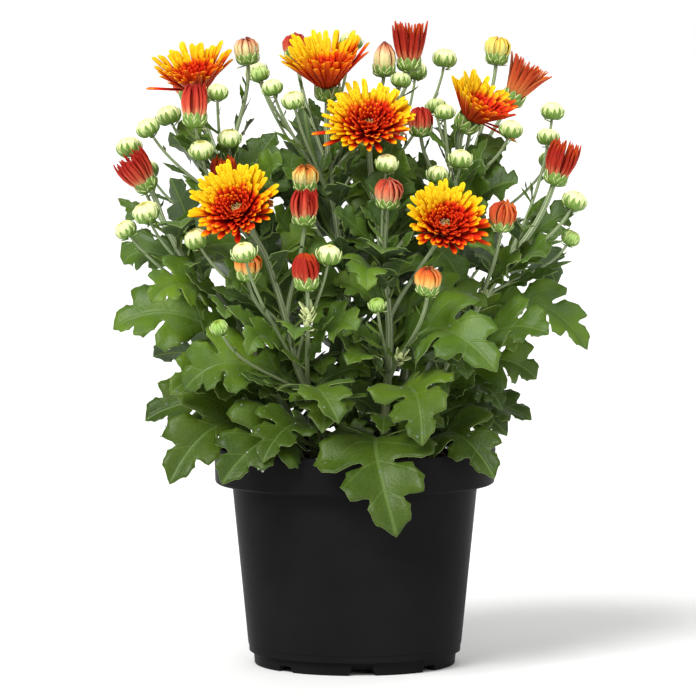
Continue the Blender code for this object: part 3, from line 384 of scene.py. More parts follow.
# The shoot's main stem: foot in its hole, up through its knots, into the leading head
def stemPath(shoot, steps, leadSteps):
    knots = [metres(row) for row in stems[shoot]]
    lead = next(row for row in heads if row[2] == shoot and not row[3])
    end, axis = headFoot(lead[1], lead[4], lead[5])
    reach = (end - knots[-1]).length
    rise = (knots[-1] - knots[-2]).normalized()
    head = bow(knots[-1], knots[-1] + rise * reach * stemLook["leadPull"],
               end - axis * reach * stemLook["leadHeadPull"], end, leadSteps)
    foot = Vector((knots[0].x, knots[0].y, (soilLook["top"] - soilLook["holeDepth"] + soilLook["gap"]) * mm))
    return [foot] + smoothPath(knots, steps)[:-1] + head


# Where the path passes a height, and which way it runs there
def pointAtHeight(path, height):
    for a, b in zip(path, path[1:]):
        if a.z <= height * mm <= b.z:
            share = (height * mm - a.z) / max(b.z - a.z, 1e-9)
            return a.lerp(b, share), (b - a).normalized()
    return path[-1].copy(), (path[-1] - path[-2]).normalized()


# A flower stalk from the main stem to the foot of its head
def twigPath(path, row, steps):
    start, along = pointAtHeight(path, row[3])
    end, axis = headFoot(row[1], row[4], row[5])
    reach = (end - start).length
    leaving = (along + (end - start).normalized() * stemLook["stalkLean"]).normalized()
    return bow(start, start + leaving * reach * stemLook["stalkPull"],
               end - axis * reach * stemLook["headPull"], end, steps)


# What already stands somewhere, kept in a grid of cells
taken = {}


def cellOf(point):
    return (int(point.x // room["cell"]), int(point.y // room["cell"]), int(point.z // room["cell"]))


def take(point, radius, owner):
    taken.setdefault(cellOf(point), []).append((point, radius, owner))


def takePath(path, radius, owner):
    for a, b in zip(path, path[1:]):
        count = max(1, int((b - a).length / (room["pathSpacing"] * mm)))
        for i in range(count):
            take(a.lerp(b, i / count), radius, owner)


# True where nothing else comes within reach; ownGap is the share of it kept from the same shoot
def isFree(point, radius, owner, ownGap):
    home = cellOf(point)
    for x in (-1, 0, 1):
        for y in (-1, 0, 1):
            for z in (-1, 0, 1):
                for other, wide, whose in taken.get((home[0] + x, home[1] + y, home[2] + z), ()):
                    reach = (radius + wide) * (ownGap if whose == owner else 1.0)
                    if reach > 0 and (point - other).length < reach:
                        return False
    return True


def clearOfPot(point):
    far = math.hypot(point.x, point.y) / mm
    height = point.z / mm
    if far < potLook["rimRadius"] - potLook["wall"] - room["pot"]:
        return height > soilLook["top"] + soilLook["mound"] + room["pot"]
    if far < potLook["rimRadius"] + room["pot"]:
        return height > potLook["height"] + room["pot"]
    return height > room["floor"]


# Where a leaf's midrib runs at a share of its length, with its upward and sideways directions
def leafFrame(s, base, bend, tip, roll):
    toward = -1.0 if tip.y < leafRule["faceSplit"] * mm else 1.0
    spot = base * (1 - s) ** 2 + bend * 2 * s * (1 - s) + tip * s * s
    along = ((bend - base) * (1 - s) + (tip - bend) * s).normalized()
    hint = Vector((0.0, toward * leafRule["faceTurn"], 1.0))
    up = (hint - along * hint.dot(along)).normalized()
    up = Matrix.Rotation(math.radians(roll), 3, along) @ up
    return spot, up, along.cross(up)


def leafLength(base, bend, tip):
    return (bend - base).length * 0.5 + (tip - bend).length * 0.5 + (tip - base).length * 0.5


# Points and triangles of the part's plain leaf, laid along a bent midrib
def leafSheet(base, bend, tip, width, roll, cut):
    edge = leafCuts[cut]["edge"]
    rib = leafCuts[cut]["rib"]
    length = leafLength(base, bend, tip)
    across = length if cut == "bract" else width * length / (2.0 * max(v for _, v, _ in edge))
    fold = math.radians(leafRule["fold"])
    points = [leafFrame(s, base, bend, tip, roll)[0] for s in rib]
    faces = []
    rows = []
    for side in (1, -1):
        row = []
        for s, v, hang in edge:
            _, up, cross = leafFrame(max(s, rib[0]), base, bend, tip, roll)
            spot = leafFrame(s, base, bend, tip, roll)[0]
            lift = math.sin(fold) * max(0.0, v - edge[1][1]) * across
            points.append(spot + cross * side * v * across * math.cos(fold) + up * lift)
            row.append(len(points) - 1)
        rows.append(row)
        made = []
        for i in range(len(edge) - 1):
            here, there = edge[i][2], edge[i + 1][2]
            if here != there:
                made.append((here, there, row[i]))
            made.append((there, row[i + 1], row[i]))
        made.append((edge[-1][2], len(rib) - 1, row[-1]))
        faces += made if side > 0 else [face[::-1] for face in made]
    faces.append((rows[0][0], rows[1][0], 0))
    return points, faces


# Points spread over the triangles of a sheet
def sheetSamples(points, faces, spacing):
    spots = []
    for corners in faces:
        a, b, c = (points[i] for i in corners)
        longest = max((b - a).length, (c - b).length, (a - c).length)
        count = max(1, math.ceil(longest / spacing))
        for i in range(count + 1):
            for j in range(count + 1 - i):
                spots.append(a + (b - a) * (i / count) + (c - a) * (j / count))
    return spots


# The point turned round the upright through the base, then lifted
def swung(base, point, turn, lift):
    arm = Matrix.Rotation(math.radians(turn), 3, "Z") @ (point - base)
    side = Vector((-arm.y, arm.x, 0.0))
    if side.length < 1e-6:
        return base + arm
    return base + Matrix.Rotation(math.radians(-lift), 3, side.normalized()) @ arm


# True where a point of a leaf has room; near its own foot it may touch its own shoot
def hasRoom(spot, base, reach, shoot, limited):
    if limited and (abs(spot.x) > room["side"] * mm or abs(spot.y) > room["depth"] * mm):
        return False
    if not clearOfPot(spot):
        return False
    ownGap = 0.0 if (spot - base).length < reach * room["freeShare"] else room["ownShare"]
    return isFree(spot, room["leaf"], shoot, ownGap)


# The first try at which the leaf stands clear, or nothing
def placeLeaf(shoot, base, bend, tip, width, roll, cut, limited=True):
    for size in leafRule["sizes"]:
        for turn, lift in leafRule["tries"]:
            newBend = base + (swung(base, bend, turn, lift) - base) * size
            newTip = base + (swung(base, tip, turn, lift) - base) * size
            points, faces = leafSheet(base, newBend, newTip, width, roll, cut)
            spots = sheetSamples(points, faces, room["sheetSpacing"] * mm)
            reach = (newTip - base).length
            if all(hasRoom(spot, base, reach, shoot, limited) for spot in spots):
                for spot in spots:
                    take(spot, room["leaf"], shoot)
                return base, newBend, newTip, width, roll, cut
    return None


# A listed leaf
def setLeaf(shoot, path, height, bend, tip, width, roll, cut, limited):
    base, _ = pointAtHeight(path, height)
    return placeLeaf(shoot, base, metres(bend), metres(tip), width, roll, cut, limited)


# Leaves up a stem, wherever there is room for one
def leavesUp(shoot, path, look, rng):
    full = look["topHeight"] or stems[shoot][-1][2]
    height = look["start"]
    turn = leafRule["startTurn"][shoot] + look["firstTurn"]
    grown = []
    while height < min(full, stems[shoot][-1][2]):
        share = (height - look["start"]) / (full - look["start"])
        base, _ = pointAtHeight(path, height)
        length = between(*look["length"], share) * rng.uniform(*look["lengthChange"])
        way = levelWay(math.radians(turn))
        rise, sag = [between(low, high, share) + rng.uniform(-change, change)
                     for low, high, change in (look["rise"], look["sag"])]
        bend = base + (way * look["out"][0] + Vector((0, 0, rise))) * length * mm
        tip = base + (way * look["out"][1] + Vector((0, 0, rise - sag))) * length * mm
        width = rng.uniform(*look["width"])
        roll = rng.uniform(-look["roll"], look["roll"])
        cut = "middle" if share < look["smallFrom"] else "small"
        grown.append(placeLeaf(shoot, base, bend, tip, width, roll, cut))
        height += look["step"]
        turn += look["turn"]
    return grown


# Root, lean, turn and length of every petal of a bloom as the part has it
def bloomPetals(radius, spread, rng):
    look = solidBloom
    petals = []
    for layer, (count, lift, share) in enumerate(look["layers"]):
        for i in range(count):
            turn = 360.0 * (i + 0.5 * layer) / count + rng.uniform(-4, 4)
            lean = min(look["mostLean"], spread + lift + rng.uniform(-4, 4))
            reach = (radius - look["ring"]) * share * rng.uniform(0.95, 1.04)
            root = look["root"] + look["rise"] * layer
            petals.append((root, math.radians(lean), math.radians(turn), reach))
    return petals


# Stems and stalks, and what they and the heads take up
stemPaths = {shoot: stemPath(shoot, stemLook["stemSteps"], stemLook["leadSteps"]) for shoot in stems}
twigPaths = {index: twigPath(stemPaths[row[2]], row, stemLook["twigSteps"])
             for index, row in enumerate(heads) if row[3]}
for shoot, path in stemPaths.items():
    takePath(path, (stemLook["footRadius"] + room["stem"]) * mm, shoot)
for index, path in twigPaths.items():
    takePath(path, (stemLook["twigRadius"] + room["twig"]) * mm, heads[index][2])
rng = random.Random(seed)
for name, kind, shoot, height, seat, axis, radius, length in heads:
    seat = metres(seat)
    axis = Vector(axis).normalized()
    if kind == "bud":
        take(seat, (radius + room["bud"]) * mm, shoot)
    elif kind == "bloom":
        stand = facing(seat, axis)
        take(seat, room["core"] * mm, name)
        take(seat - axis * room["bloomCupDrop"] * mm, room["cup"] * mm, shoot)
        for root, lean, turn, reach in bloomPetals(radius, length, rng):
            around = Matrix.Rotation(turn, 3, "Z")
            foot = around @ Vector((solidBloom["ring"], 0.0, root)) * mm
            way = around @ Vector((math.cos(lean), 0.0, math.sin(lean)))
            for share in solidBloom["marks"]:
                take(stand @ (foot + way * reach * share * mm), room["petal"] * mm, name)
    else:
        for share in room["headMarks"]:
            take(seat + axis * length * share * mm, (radius + room["head"]) * mm, name)
        take(seat - axis * room["headCupDrop"] * mm, room["cup"] * mm, shoot)

# Leaves: those listed, then the rest up each stem, then narrow bracts on some stalks
leafSpecs = {shoot: [] for shoot in stems}
for shoot, *row in leaves:
    leafSpecs[shoot].append(setLeaf(shoot, stemPaths[shoot], *row, "large", False))
for shoot, path in stemPaths.items():
    leafSpecs[shoot] += leavesUp(shoot, path, leafRule, rng)
for index, path in twigPaths.items():
    if index % leafRule["bractEvery"] == 0:
        shoot = heads[index][2]
        along = (path[3] - path[2]).normalized()
        way = levelWay(rng.uniform(0, 2 * math.pi))
        length = rng.uniform(*leafRule["bractLength"])
        bend = path[2] + (way * 0.5 + along * 0.3) * length * mm
        tip = path[2] + (way * 0.7 + along * 0.8) * length * mm
        leafSpecs[shoot].append(placeLeaf(shoot, path[2], bend, tip, 0.0, 0.0, "bract"))
print("leaves", {shoot: sum(1 for spec in specs if spec) for shoot, specs in leafSpecs.items()})


# A pile gathers points and faces until they become one piece. Growth holds how far along and across
# its petal, leaf or stem a point lies, and whether it is on the under side.
def newPile():
    return {"count": 0, "points": [], "growth": [], "tint": [], "faces": [], "finish": []}


def addPoints(pile, points, growth, tint):
    start = pile["count"]
    pile["points"].append(np.asarray(points, float).reshape(-1, 3))
    pile["growth"].append(np.asarray(growth, float).reshape(-1, 3))
    pile["tint"].append(np.full(len(pile["points"][-1]), tint))
    pile["count"] += len(pile["points"][-1])
    return start


# A closed skin over rings of equal count
def addRings(pile, rings, growth, tint, finish=0):
    rows, count, _ = rings.shape
    start = addPoints(pile, rings, growth, tint)
    index = start + np.arange(rows * count).reshape(rows, count)
    after = np.roll(index, -1, axis=1)
    quads = np.stack([index[:-1], after[:-1], after[1:], index[1:]], axis=-1).reshape(-1, 4)
    pile["faces"] += quads.tolist()
    pile["faces"] += [index[0][::-1].tolist(), index[-1].tolist()]
    pile["finish"] += [finish] * (len(quads) + 2)


def asRows(matrix, points):
    turn = np.array(matrix.to_3x3())
    return points @ turn.T + np.array(matrix.translation)


# Joins points that meet, if asked to, and turns all faces outward
def tidyMesh(mesh, weld=0.0):
    work = bmesh.new()
    work.from_mesh(mesh)
    if weld:
        bmesh.ops.remove_doubles(work, verts=work.verts, dist=weld)
    bmesh.ops.recalc_face_normals(work, faces=work.faces)
    work.to_mesh(mesh)
    work.free()


# Turns a pile into a piece that rides on the part and stands for its nodes
def makePiece(name, pile, paints, slotName, nodes, sharp=None):
    mesh = bpy.data.meshes.new(name)
    mesh.from_pydata(np.concatenate(pile["points"]).tolist(), [], pile["faces"])
    grown = mesh.attributes.new("growth", "FLOAT_VECTOR", "POINT")
    grown.data.foreach_set("vector", np.concatenate(pile["growth"]).ravel())
    shade = mesh.attributes.new("tint", "FLOAT", "POINT")
    shade.data.foreach_set("value", np.concatenate(pile["tint"]))
    for paint in paints:
        mesh.materials.append(finishes[paint])
    mesh.polygons.foreach_set("material_index", np.array(pile["finish"], dtype=np.int32))
    tidyMesh(mesh)
    dressPiece(name, mesh, nodes, sharp)


def dressPiece(name, mesh, nodes, sharp=None):
    mesh.polygons.foreach_set("use_smooth", [True] * len(mesh.polygons))
    if sharp:
        mesh.set_sharp_from_angle(angle=math.radians(sharp))
    piece = newObject(name, mesh)
    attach(piece, "root")
    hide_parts(*nodes)


# A value in a material's node tree; sums with it add the matching Math nodes
class wire:
    def __init__(self, socket):
        self.socket = socket

    def __add__(self, other):
        return doMath("ADD", self, other)

    def __sub__(self, other):
        return doMath("SUBTRACT", self, other)

    def __rsub__(self, other):
        return doMath("SUBTRACT", other, self)

    def __mul__(self, other):
        return doMath("MULTIPLY", self, other)

    def __truediv__(self, other):
        return doMath("DIVIDE", self, other)

    def __pow__(self, other):
        return doMath("POWER", self, other)


# Adds a node fed by wires and plain values, and gives back one of its outputs
def addNode(kind, inputs, output=0, tree=None, **settings):
    if tree is None:
        tree = next(value for value in inputs.values() if isinstance(value, wire)).socket.id_data
    made = tree.nodes.new(kind)
    for key, value in settings.items():
        setattr(made, key, value)
    for key, value in inputs.items():
        if isinstance(value, wire):
            tree.links.new(value.socket, made.inputs[key])
        else:
            made.inputs[key].default_value = value
    return wire(made.outputs[output])


def doMath(operation, a, b=0.0):
    return addNode("ShaderNodeMath", {0: a, 1: b}, operation=operation)


def makeNoise(vector, scale, detail=3.0, roughness=0.5):
    return addNode("ShaderNodeTexNoise", {"Scale": scale, "Detail": detail, "Roughness": roughness,
                                          "Vector": vector}, "Fac")


def mixColours(factor, a, b, blend="MIX"):
    a, b = [(*colour, 1.0) if isinstance(colour, tuple) else colour for colour in (a, b)]
    return addNode("ShaderNodeMix", {0: factor, 6: a, 7: b}, 2, data_type="RGBA", blend_type=blend)


def makeRamp(factor, stops):
    made = addNode("ShaderNodeValToRGB", {"Fac": factor}, "Color")
    ramp = made.socket.node.color_ramp
    while len(ramp.elements) < len(stops):
        ramp.elements.new(0.5)
    for element, (place, colour) in zip(ramp.elements, stops):
        element.position = place
        element.color = (*colour, 1.0)
    return made


# Rises softly from 0 to 1 between two values
def stepUp(value, low, high):
    return addNode("ShaderNodeMapRange", {"Value": value, "From Min": low, "From Max": high}, "Result",
                   interpolation_type="SMOOTHSTEP")


def makeBump(height, strength, distance):
    return addNode("ShaderNodeBump", {"Height": height, "Strength": strength, "Distance": distance}, "Normal")


def newFinish(name, values):
    made = bpy.data.materials.new(name)
    made.use_nodes = True
    surface = made.node_tree.nodes["Principled BSDF"]
    for key, value in values.items():
        surface.inputs[key].default_value = value
    return made, surface


def feed(surface, wires):
    for key, value in wires.items():
        surface.id_data.links.new(value.socket, surface.inputs[key])


# How far along and across its petal or leaf a point lies, which side it is on, and its tint
def grownParts(surface):
    tree = surface.id_data
    grown = addNode("ShaderNodeAttribute", {}, "Vector", tree, attribute_name="growth")
    split = addNode("ShaderNodeSeparateXYZ", {0: grown}).socket.node
    tint = addNode("ShaderNodeAttribute", {}, "Fac", tree, attribute_name="tint")
    return [wire(socket) for socket in split.outputs] + [tint]


def placeCoordinates(surface):
    return addNode("ShaderNodeTexCoord", {}, "Object", surface.id_data)


def heightOf(spot):
    return addNode("ShaderNodeSeparateXYZ", {0: spot}, 2)


# Colours of each kind of petal from foot to tip, and of its fine lines, rims and youngest petals; without a
# rim colour, the line colour darkens the back rims as painted shade
petalColours = {
    "flame": {
        "face": [(0.0, (0.52, 0.008, 0.003)), (0.20, (0.72, 0.018, 0.004)), (0.36, (0.86, 0.046, 0.005)),
                 (0.50, (0.92, 0.130, 0.004)), (0.61, (0.95, 0.340, 0.003)), (0.74, (1.00, 0.590, 0.004)),
                 (1.0, (1.00, 0.700, 0.012))],
        "back": [(0.0, (0.60, 0.050, 0.007)), (0.34, (0.76, 0.090, 0.008)), (0.60, (0.86, 0.180, 0.006)),
                 (0.80, (0.94, 0.390, 0.005)), (1.0, (1.00, 0.600, 0.008))],
        "ripening": 0.84,
    },
    "coral": {
        "face": [(0.0, (0.20, 0.005, 0.005)), (0.6, (0.36, 0.010, 0.008)), (1.0, (0.50, 0.030, 0.014))],
        "back": [(0.0, (0.74, 0.660, 0.320)), (0.32, (0.80, 0.360, 0.170)), (0.50, (0.66, 0.100, 0.050)),
                 (0.80, (0.54, 0.044, 0.024)), (1.0, (0.38, 0.013, 0.009))],
    },
    "scarlet": {
        "face": [(0.0, (0.18, 0.004, 0.004)), (0.6, (0.38, 0.011, 0.006)), (1.0, (0.66, 0.090, 0.012))],
        "back": [(0.0, (0.70, 0.520, 0.220)), (0.28, (0.68, 0.200, 0.090)), (0.48, (0.46, 0.036, 0.017)),
                 (0.84, (0.34, 0.013, 0.009)), (1.0, (0.54, 0.060, 0.012))],
    },
    "rose": {
        "face": [(0.0, (0.40, 0.060, 0.030)), (1.0, (0.50, 0.030, 0.014))],
        "back": [(0.0, (0.66, 0.660, 0.300)), (0.30, (0.84, 0.640, 0.340)), (0.50, (0.80, 0.300, 0.150)),
                 (0.74, (0.62, 0.085, 0.038)), (1.0, (0.40, 0.014, 0.009))],
        "rim": (0.86, 0.66, 0.38),
    },
    "ember": {
        "face": [(0.0, (0.42, 0.016, 0.006)), (0.6, (0.62, 0.056, 0.009)), (1.0, (0.80, 0.180, 0.012))],
        "back": [(0.0, (0.78, 0.600, 0.240)), (0.26, (0.74, 0.240, 0.070)), (0.60, (0.62, 0.090, 0.024)),
                 (1.0, (0.48, 0.036, 0.012))],
        "rim": (0.84, 0.46, 0.17),
    },
    "orange": {
        "face": [(0.0, (0.60, 0.100, 0.010)), (1.0, (0.66, 0.120, 0.012))],
        "back": [(0.0, (0.70, 0.720, 0.300)), (0.32, (0.88, 0.700, 0.260)), (0.52, (0.90, 0.480, 0.110)),
                 (0.70, (0.80, 0.180, 0.022)), (0.88, (0.58, 0.060, 0.012)), (1.0, (0.12, 0.010, 0.004))],
        "rim": (0.90, 0.66, 0.24),
    },
    "blush": {
        "face": [(0.0, (0.60, 0.300, 0.100)), (1.0, (0.50, 0.070, 0.030))],
        "back": [(0.0, (0.40, 0.500, 0.130)), (0.34, (0.80, 0.770, 0.360)), (0.64, (0.86, 0.690, 0.370)),
                 (0.84, (0.70, 0.300, 0.150)), (1.0, (0.20, 0.030, 0.014))],
        "lines": (0.62, 0.50, 0.24),
    },
    "cream": {
        "face": [(0.0, (0.66, 0.520, 0.120)), (1.0, (0.66, 0.240, 0.030))],
        "back": [(0.0, (0.50, 0.560, 0.160)), (0.36, (0.84, 0.800, 0.360)), (0.66, (0.90, 0.680, 0.190)),
                 (0.84, (0.74, 0.220, 0.034)), (1.0, (0.20, 0.024, 0.008))],
        "lines": (0.62, 0.50, 0.24),
    },
    "lemon": {
        "face": [(0.0, (0.66, 0.560, 0.120)), (1.0, (0.84, 0.560, 0.040))],
        "back": [(0.0, (0.36, 0.440, 0.090)), (0.36, (0.66, 0.680, 0.220)), (0.76, (0.88, 0.760, 0.180)),
                 (1.0, (0.84, 0.500, 0.030))],
        "lines": (0.80, 0.62, 0.30),
    },
    "pale": {
        "face": [(0.0, (0.50, 0.560, 0.120)), (1.0, (0.70, 0.660, 0.120))],
        "back": [(0.0, (0.24, 0.400, 0.070)), (0.30, (0.54, 0.680, 0.230)), (0.60, (0.92, 0.950, 0.540)),
                 (0.84, (0.94, 0.930, 0.480)), (1.0, (0.66, 0.600, 0.110))],
        "lines": (0.40, 0.54, 0.18),
        "young": (0.36, 0.56, 0.22),
    },
}


def petalFinish(name):
    colours = petalColours[name]
    ripening = colours.get("ripening", 0.0)
    made, surface = newFinish(name + "Petal", {
        "Roughness": 0.52, "Specular IOR Level": 0.12, "Subsurface Weight": 0.08,
        "Subsurface Scale": 0.0010, "Subsurface Radius": (1.0, 0.4, 0.15)})
    along, across, under, tint = grownParts(surface)
    stretched = addNode("ShaderNodeCombineXYZ", {0: along * 1.6, 1: across * 7.0, 2: tint * 61.0})
    streaks = makeNoise(stretched, 1.0, 4.0, 0.6)
    # the tips ripen first, and the inner petals and the rims stay behind
    ripe = along * 1.62 - 0.32 if ripening else along
    ripe = ripe - tint * ripening + across ** 2.0 * (-0.17 if ripening else 0.15) + (streaks - 0.5) * 0.34
    back = makeRamp(ripe - (0.10 if ripening else 0.0), colours["back"])
    colour = mixColours(under, makeRamp(ripe, colours["face"]), back)
    if "young" in colours:
        colour = mixColours(stepUp(tint, 0.3, 2.0), colour, colours["young"], "MULTIPLY")
    # fine darker lines run the length of each petal; unless the petal has a rim colour, the rims of its back
    # are darkened too, painted shade between the petals
    lines = stepUp(streaks, 0.44, 0.66) * 0.42
    colour = mixColours(lines, colour, colours.get("lines", (0.50, 0.12, 0.04)), "MULTIPLY")
    rims = stepUp(across, 0.60, 1.0) * under * 0.55
    if "rim" in colours:
        colour = mixColours(rims, colour, colours["rim"])
    else:
        # painted shade: the rims of the back darkened where the petals meet
        colour = mixColours(rims, colour, colours.get("lines", (0.45, 0.18, 0.10)), "MULTIPLY")
    feed(surface, {"Base Color": colour, "Normal": makeBump(streaks, 0.35, 0.0004)})
    return made


greenLook = {
    "leafDark": (0.011, 0.027, 0.003),
    "leafMid": (0.034, 0.072, 0.005),
    "leafLight": (0.088, 0.150, 0.008),
    "leafPaintedSheen": (0.105, 0.170, 0.078),
    "leafRim": (0.300, 0.400, 0.120),
    "leafVein": (0.120, 0.195, 0.040),
    "leafBack": (0.085, 0.135, 0.055),
    # what the leaf greens are multiplied by low on the plant, a deeper olive with painted shade, and high on
    # it, painted light
    "lowOliveAndPaintedShade": (0.64, 0.67, 0.26),
    "highPaintedLight": (2.15, 2.02, 1.32),
    "stem": (0.200, 0.280, 0.120),
    "stemStripe": (0.470, 0.530, 0.350),
    "stemWood": (0.110, 0.135, 0.045),
    "bract": (0.150, 0.270, 0.040),
    "bractRim": (0.660, 0.730, 0.350),
    "veinStep": 0.20,
    "veinStart": 0.17,
    "veinSweep": 0.75,
}


def leafFinish():
    look = greenLook
    made, surface = newFinish("leafGreen", {"Sheen Weight": 0.04, "Sheen Roughness": 0.4,
                                            "Specular IOR Level": 0.27})
    along, across, under, tint = grownParts(surface)
    spot = placeCoordinates(surface)
    broad = makeNoise(spot, 46.0)
    patch = makeNoise(spot, 120.0, 4.0, 0.6)
    fine = makeNoise(spot, 900.0, 3.0, 0.6)
    phase = (along - across * look["veinSweep"] - look["veinStart"]) / look["veinStep"]
    nearest = doMath("ABSOLUTE", doMath("FRACT", phase + 50.5) - 0.5)
    sideVein = (1.0 - stepUp(nearest, 0.010, 0.055)) * (1.0 - stepUp(across, 0.10, 0.34))
    vein = doMath("MAXIMUM", sideVein * 0.55, 1.0 - stepUp(across, 0.006, 0.018))
    netting = addNode("ShaderNodeTexVoronoi", {"Scale": 420.0, "Vector": spot}, "Distance",
                      feature="DISTANCE_TO_EDGE")
    net = 1.0 - stepUp(netting, 0.0, 0.20)
    colour = makeRamp(broad * 0.62 + tint * 0.62, [(0.26, look["leafDark"]), (0.56, look["leafMid"]),
                                                   (0.92, look["leafLight"])])
    # painted light by height: lighter high on the plant, where the leaves are less lit, with greyish painted
    # sheen in patches; a deep warm olive green with painted shade low down
    high = stepUp(heightOf(spot), 0.115, 0.175)
    colour = mixColours(1.0, colour, mixColours(high, look["lowOliveAndPaintedShade"], look["highPaintedLight"]), "MULTIPLY")
    # painted sheen: greyish patches in the green, strongest high on the plant
    colour = mixColours(stepUp(patch, 0.42, 0.75) * (high * 0.38 + 0.04), colour, look["leafPaintedSheen"])
    colour = mixColours(net * 0.10, colour, look["leafVein"])
    colour = mixColours(vein * 0.50, colour, look["leafVein"])
    back = mixColours(vein, mixColours(patch, look["leafBack"], look["leafMid"]), look["leafVein"])
    colour = mixColours(under, colour, back)
    edge = stepUp(under * (1.0 - under), 0.01, 0.12)
    colour = mixColours(edge * 0.8, colour, look["leafRim"])
    rough = addNode("ShaderNodeMapRange", {"Value": patch, "To Min": 0.28, "To Max": 0.60}, "Result")
    relief = fine * 0.25 - vein * 0.8 - net * 0.12
    feed(surface, {"Base Color": colour, "Roughness": rough, "Normal": makeBump(relief, 0.6, 0.0006)})
    return made


def dropFinish():
    return newFinish("waterDrop", {"Base Color": (0.90, 0.95, 0.88, 1.0), "Roughness": 0.04, "IOR": 1.33,
                                   "Transmission Weight": 0.9, "Specular IOR Level": 0.6})[0]


def stemFinish():
    look = greenLook
    made, surface = newFinish("stemGreen", {"Roughness": 0.55, "Specular IOR Level": 0.35})
    across = grownParts(surface)[1]
    spot = placeCoordinates(surface)
    wander = makeNoise(spot, 160.0)
    near = doMath("ABSOLUTE", doMath("FRACT", across * 7.0) - 0.5)
    colour = mixColours(wander * 0.5, look["stem"], look["leafLight"])
    colour = mixColours(stepUp(near + wander * 0.16, 0.30, 0.50) * 0.8, colour, look["stemStripe"])
    # low on the plant the stems are darker and woodier
    colour = mixColours(stepUp(heightOf(spot), 0.11, 0.19), look["stemWood"], colour)
    grain = makeNoise(spot, 1400.0, 2.0)
    feed(surface, {"Base Color": colour, "Normal": makeBump(grain, 0.3, 0.0003)})
    return made


def bractFinish():
    look = greenLook
    made, surface = newFinish("bractGreen", {"Roughness": 0.5, "Specular IOR Level": 0.3})
    along, across, _, tint = grownParts(surface)
    speck = makeNoise(placeCoordinates(surface), 500.0)
    # pale dry rims and tips, widest on the uppermost bracts
    pale = stepUp(across, 0.56, 1.0) * (along + 0.15) + along ** 2.0 * 0.30 + (speck - 0.5) * 0.30
    colour = mixColours(stepUp(pale + tint * 0.22, 0.40, 0.98), look["bract"], look["bractRim"])
    # painted shade: the foot of each bract and of the cup darkened toward leaf green
    colour = mixColours((1.0 - stepUp(along, 0.0, 0.30)) * 0.5, colour, look["leafMid"])
    feed(surface, {"Base Color": colour, "Normal": makeBump(speck, 0.3, 0.0003)})
    return made


def discFinish():
    made, surface = newFinish("discFloret", {"Roughness": 0.6})
    along, _, _, tint = grownParts(surface)
    colour = makeRamp(along, [(0.0, (0.16, 0.030, 0.010)), (0.6, (0.30, 0.20, 0.020)),
                              (1.0, (0.62, 0.46, 0.100))])
    colour = mixColours(stepUp(tint, 0.72, 0.78), colour, (0.80, 0.42, 0.34))
    speck = makeNoise(placeCoordinates(surface), 2400.0, 2.0)
    feed(surface, {"Base Color": mixColours(speck * 0.4, colour, (0.10, 0.05, 0.01), "MULTIPLY")})
    return made


def peatFinish():
    made, surface = newFinish("darkPeat", {"Roughness": 0.95, "Specular IOR Level": 0.15})
    spot = placeCoordinates(surface)
    grain = makeNoise(spot, 900.0, 5.0, 0.7)
    colour = makeRamp(makeNoise(spot, 170.0, 5.0, 0.7), [(0.30, (0.010, 0.006, 0.004)),
                                                         (0.55, (0.036, 0.020, 0.012)),
                                                         (0.78, (0.090, 0.052, 0.030))])
    colour = mixColours(stepUp(grain, 0.62, 0.72) * 0.5, colour, (0.16, 0.10, 0.055))
    feed(surface, {"Base Color": colour, "Normal": makeBump(grain, 0.9, 0.0012)})
    return made


def potFinish():
    made, surface = newFinish("blackPlastic", {"Specular IOR Level": 0.015})
    spot = placeCoordinates(surface)
    stretched = addNode("ShaderNodeMapping", {"Vector": spot, "Scale": (60.0, 60.0, 9.0)})
    flow = makeNoise(stretched, 1.0, 4.0, 0.6)
    scuff = stepUp(makeNoise(spot, 340.0, 6.0, 0.75), 0.66, 0.80)
    colour = makeRamp(makeNoise(spot, 24.0), [(0.3, (0.0084, 0.0084, 0.0087)),
                                              (0.7, (0.0118, 0.0118, 0.0122))])
    colour = mixColours(scuff * 0.22, colour, (0.030, 0.029, 0.028))
    relief = makeNoise(spot, 2600.0, 2.0) * 0.5 + flow
    feed(surface, {"Base Color": colour, "Roughness": flow * 0.14 + 0.34 + scuff * 0.15,
                   "Normal": makeBump(relief, 0.12, 0.0004)})
    return made


finishes = {name: petalFinish(name) for name in petalColours}
finishes.update(leaf=leafFinish(), drop=dropFinish(), stem=stemFinish(), bract=bractFinish(),
                disc=discFinish(), peat=peatFinish(), pot=potFinish())
print("finishes ready")


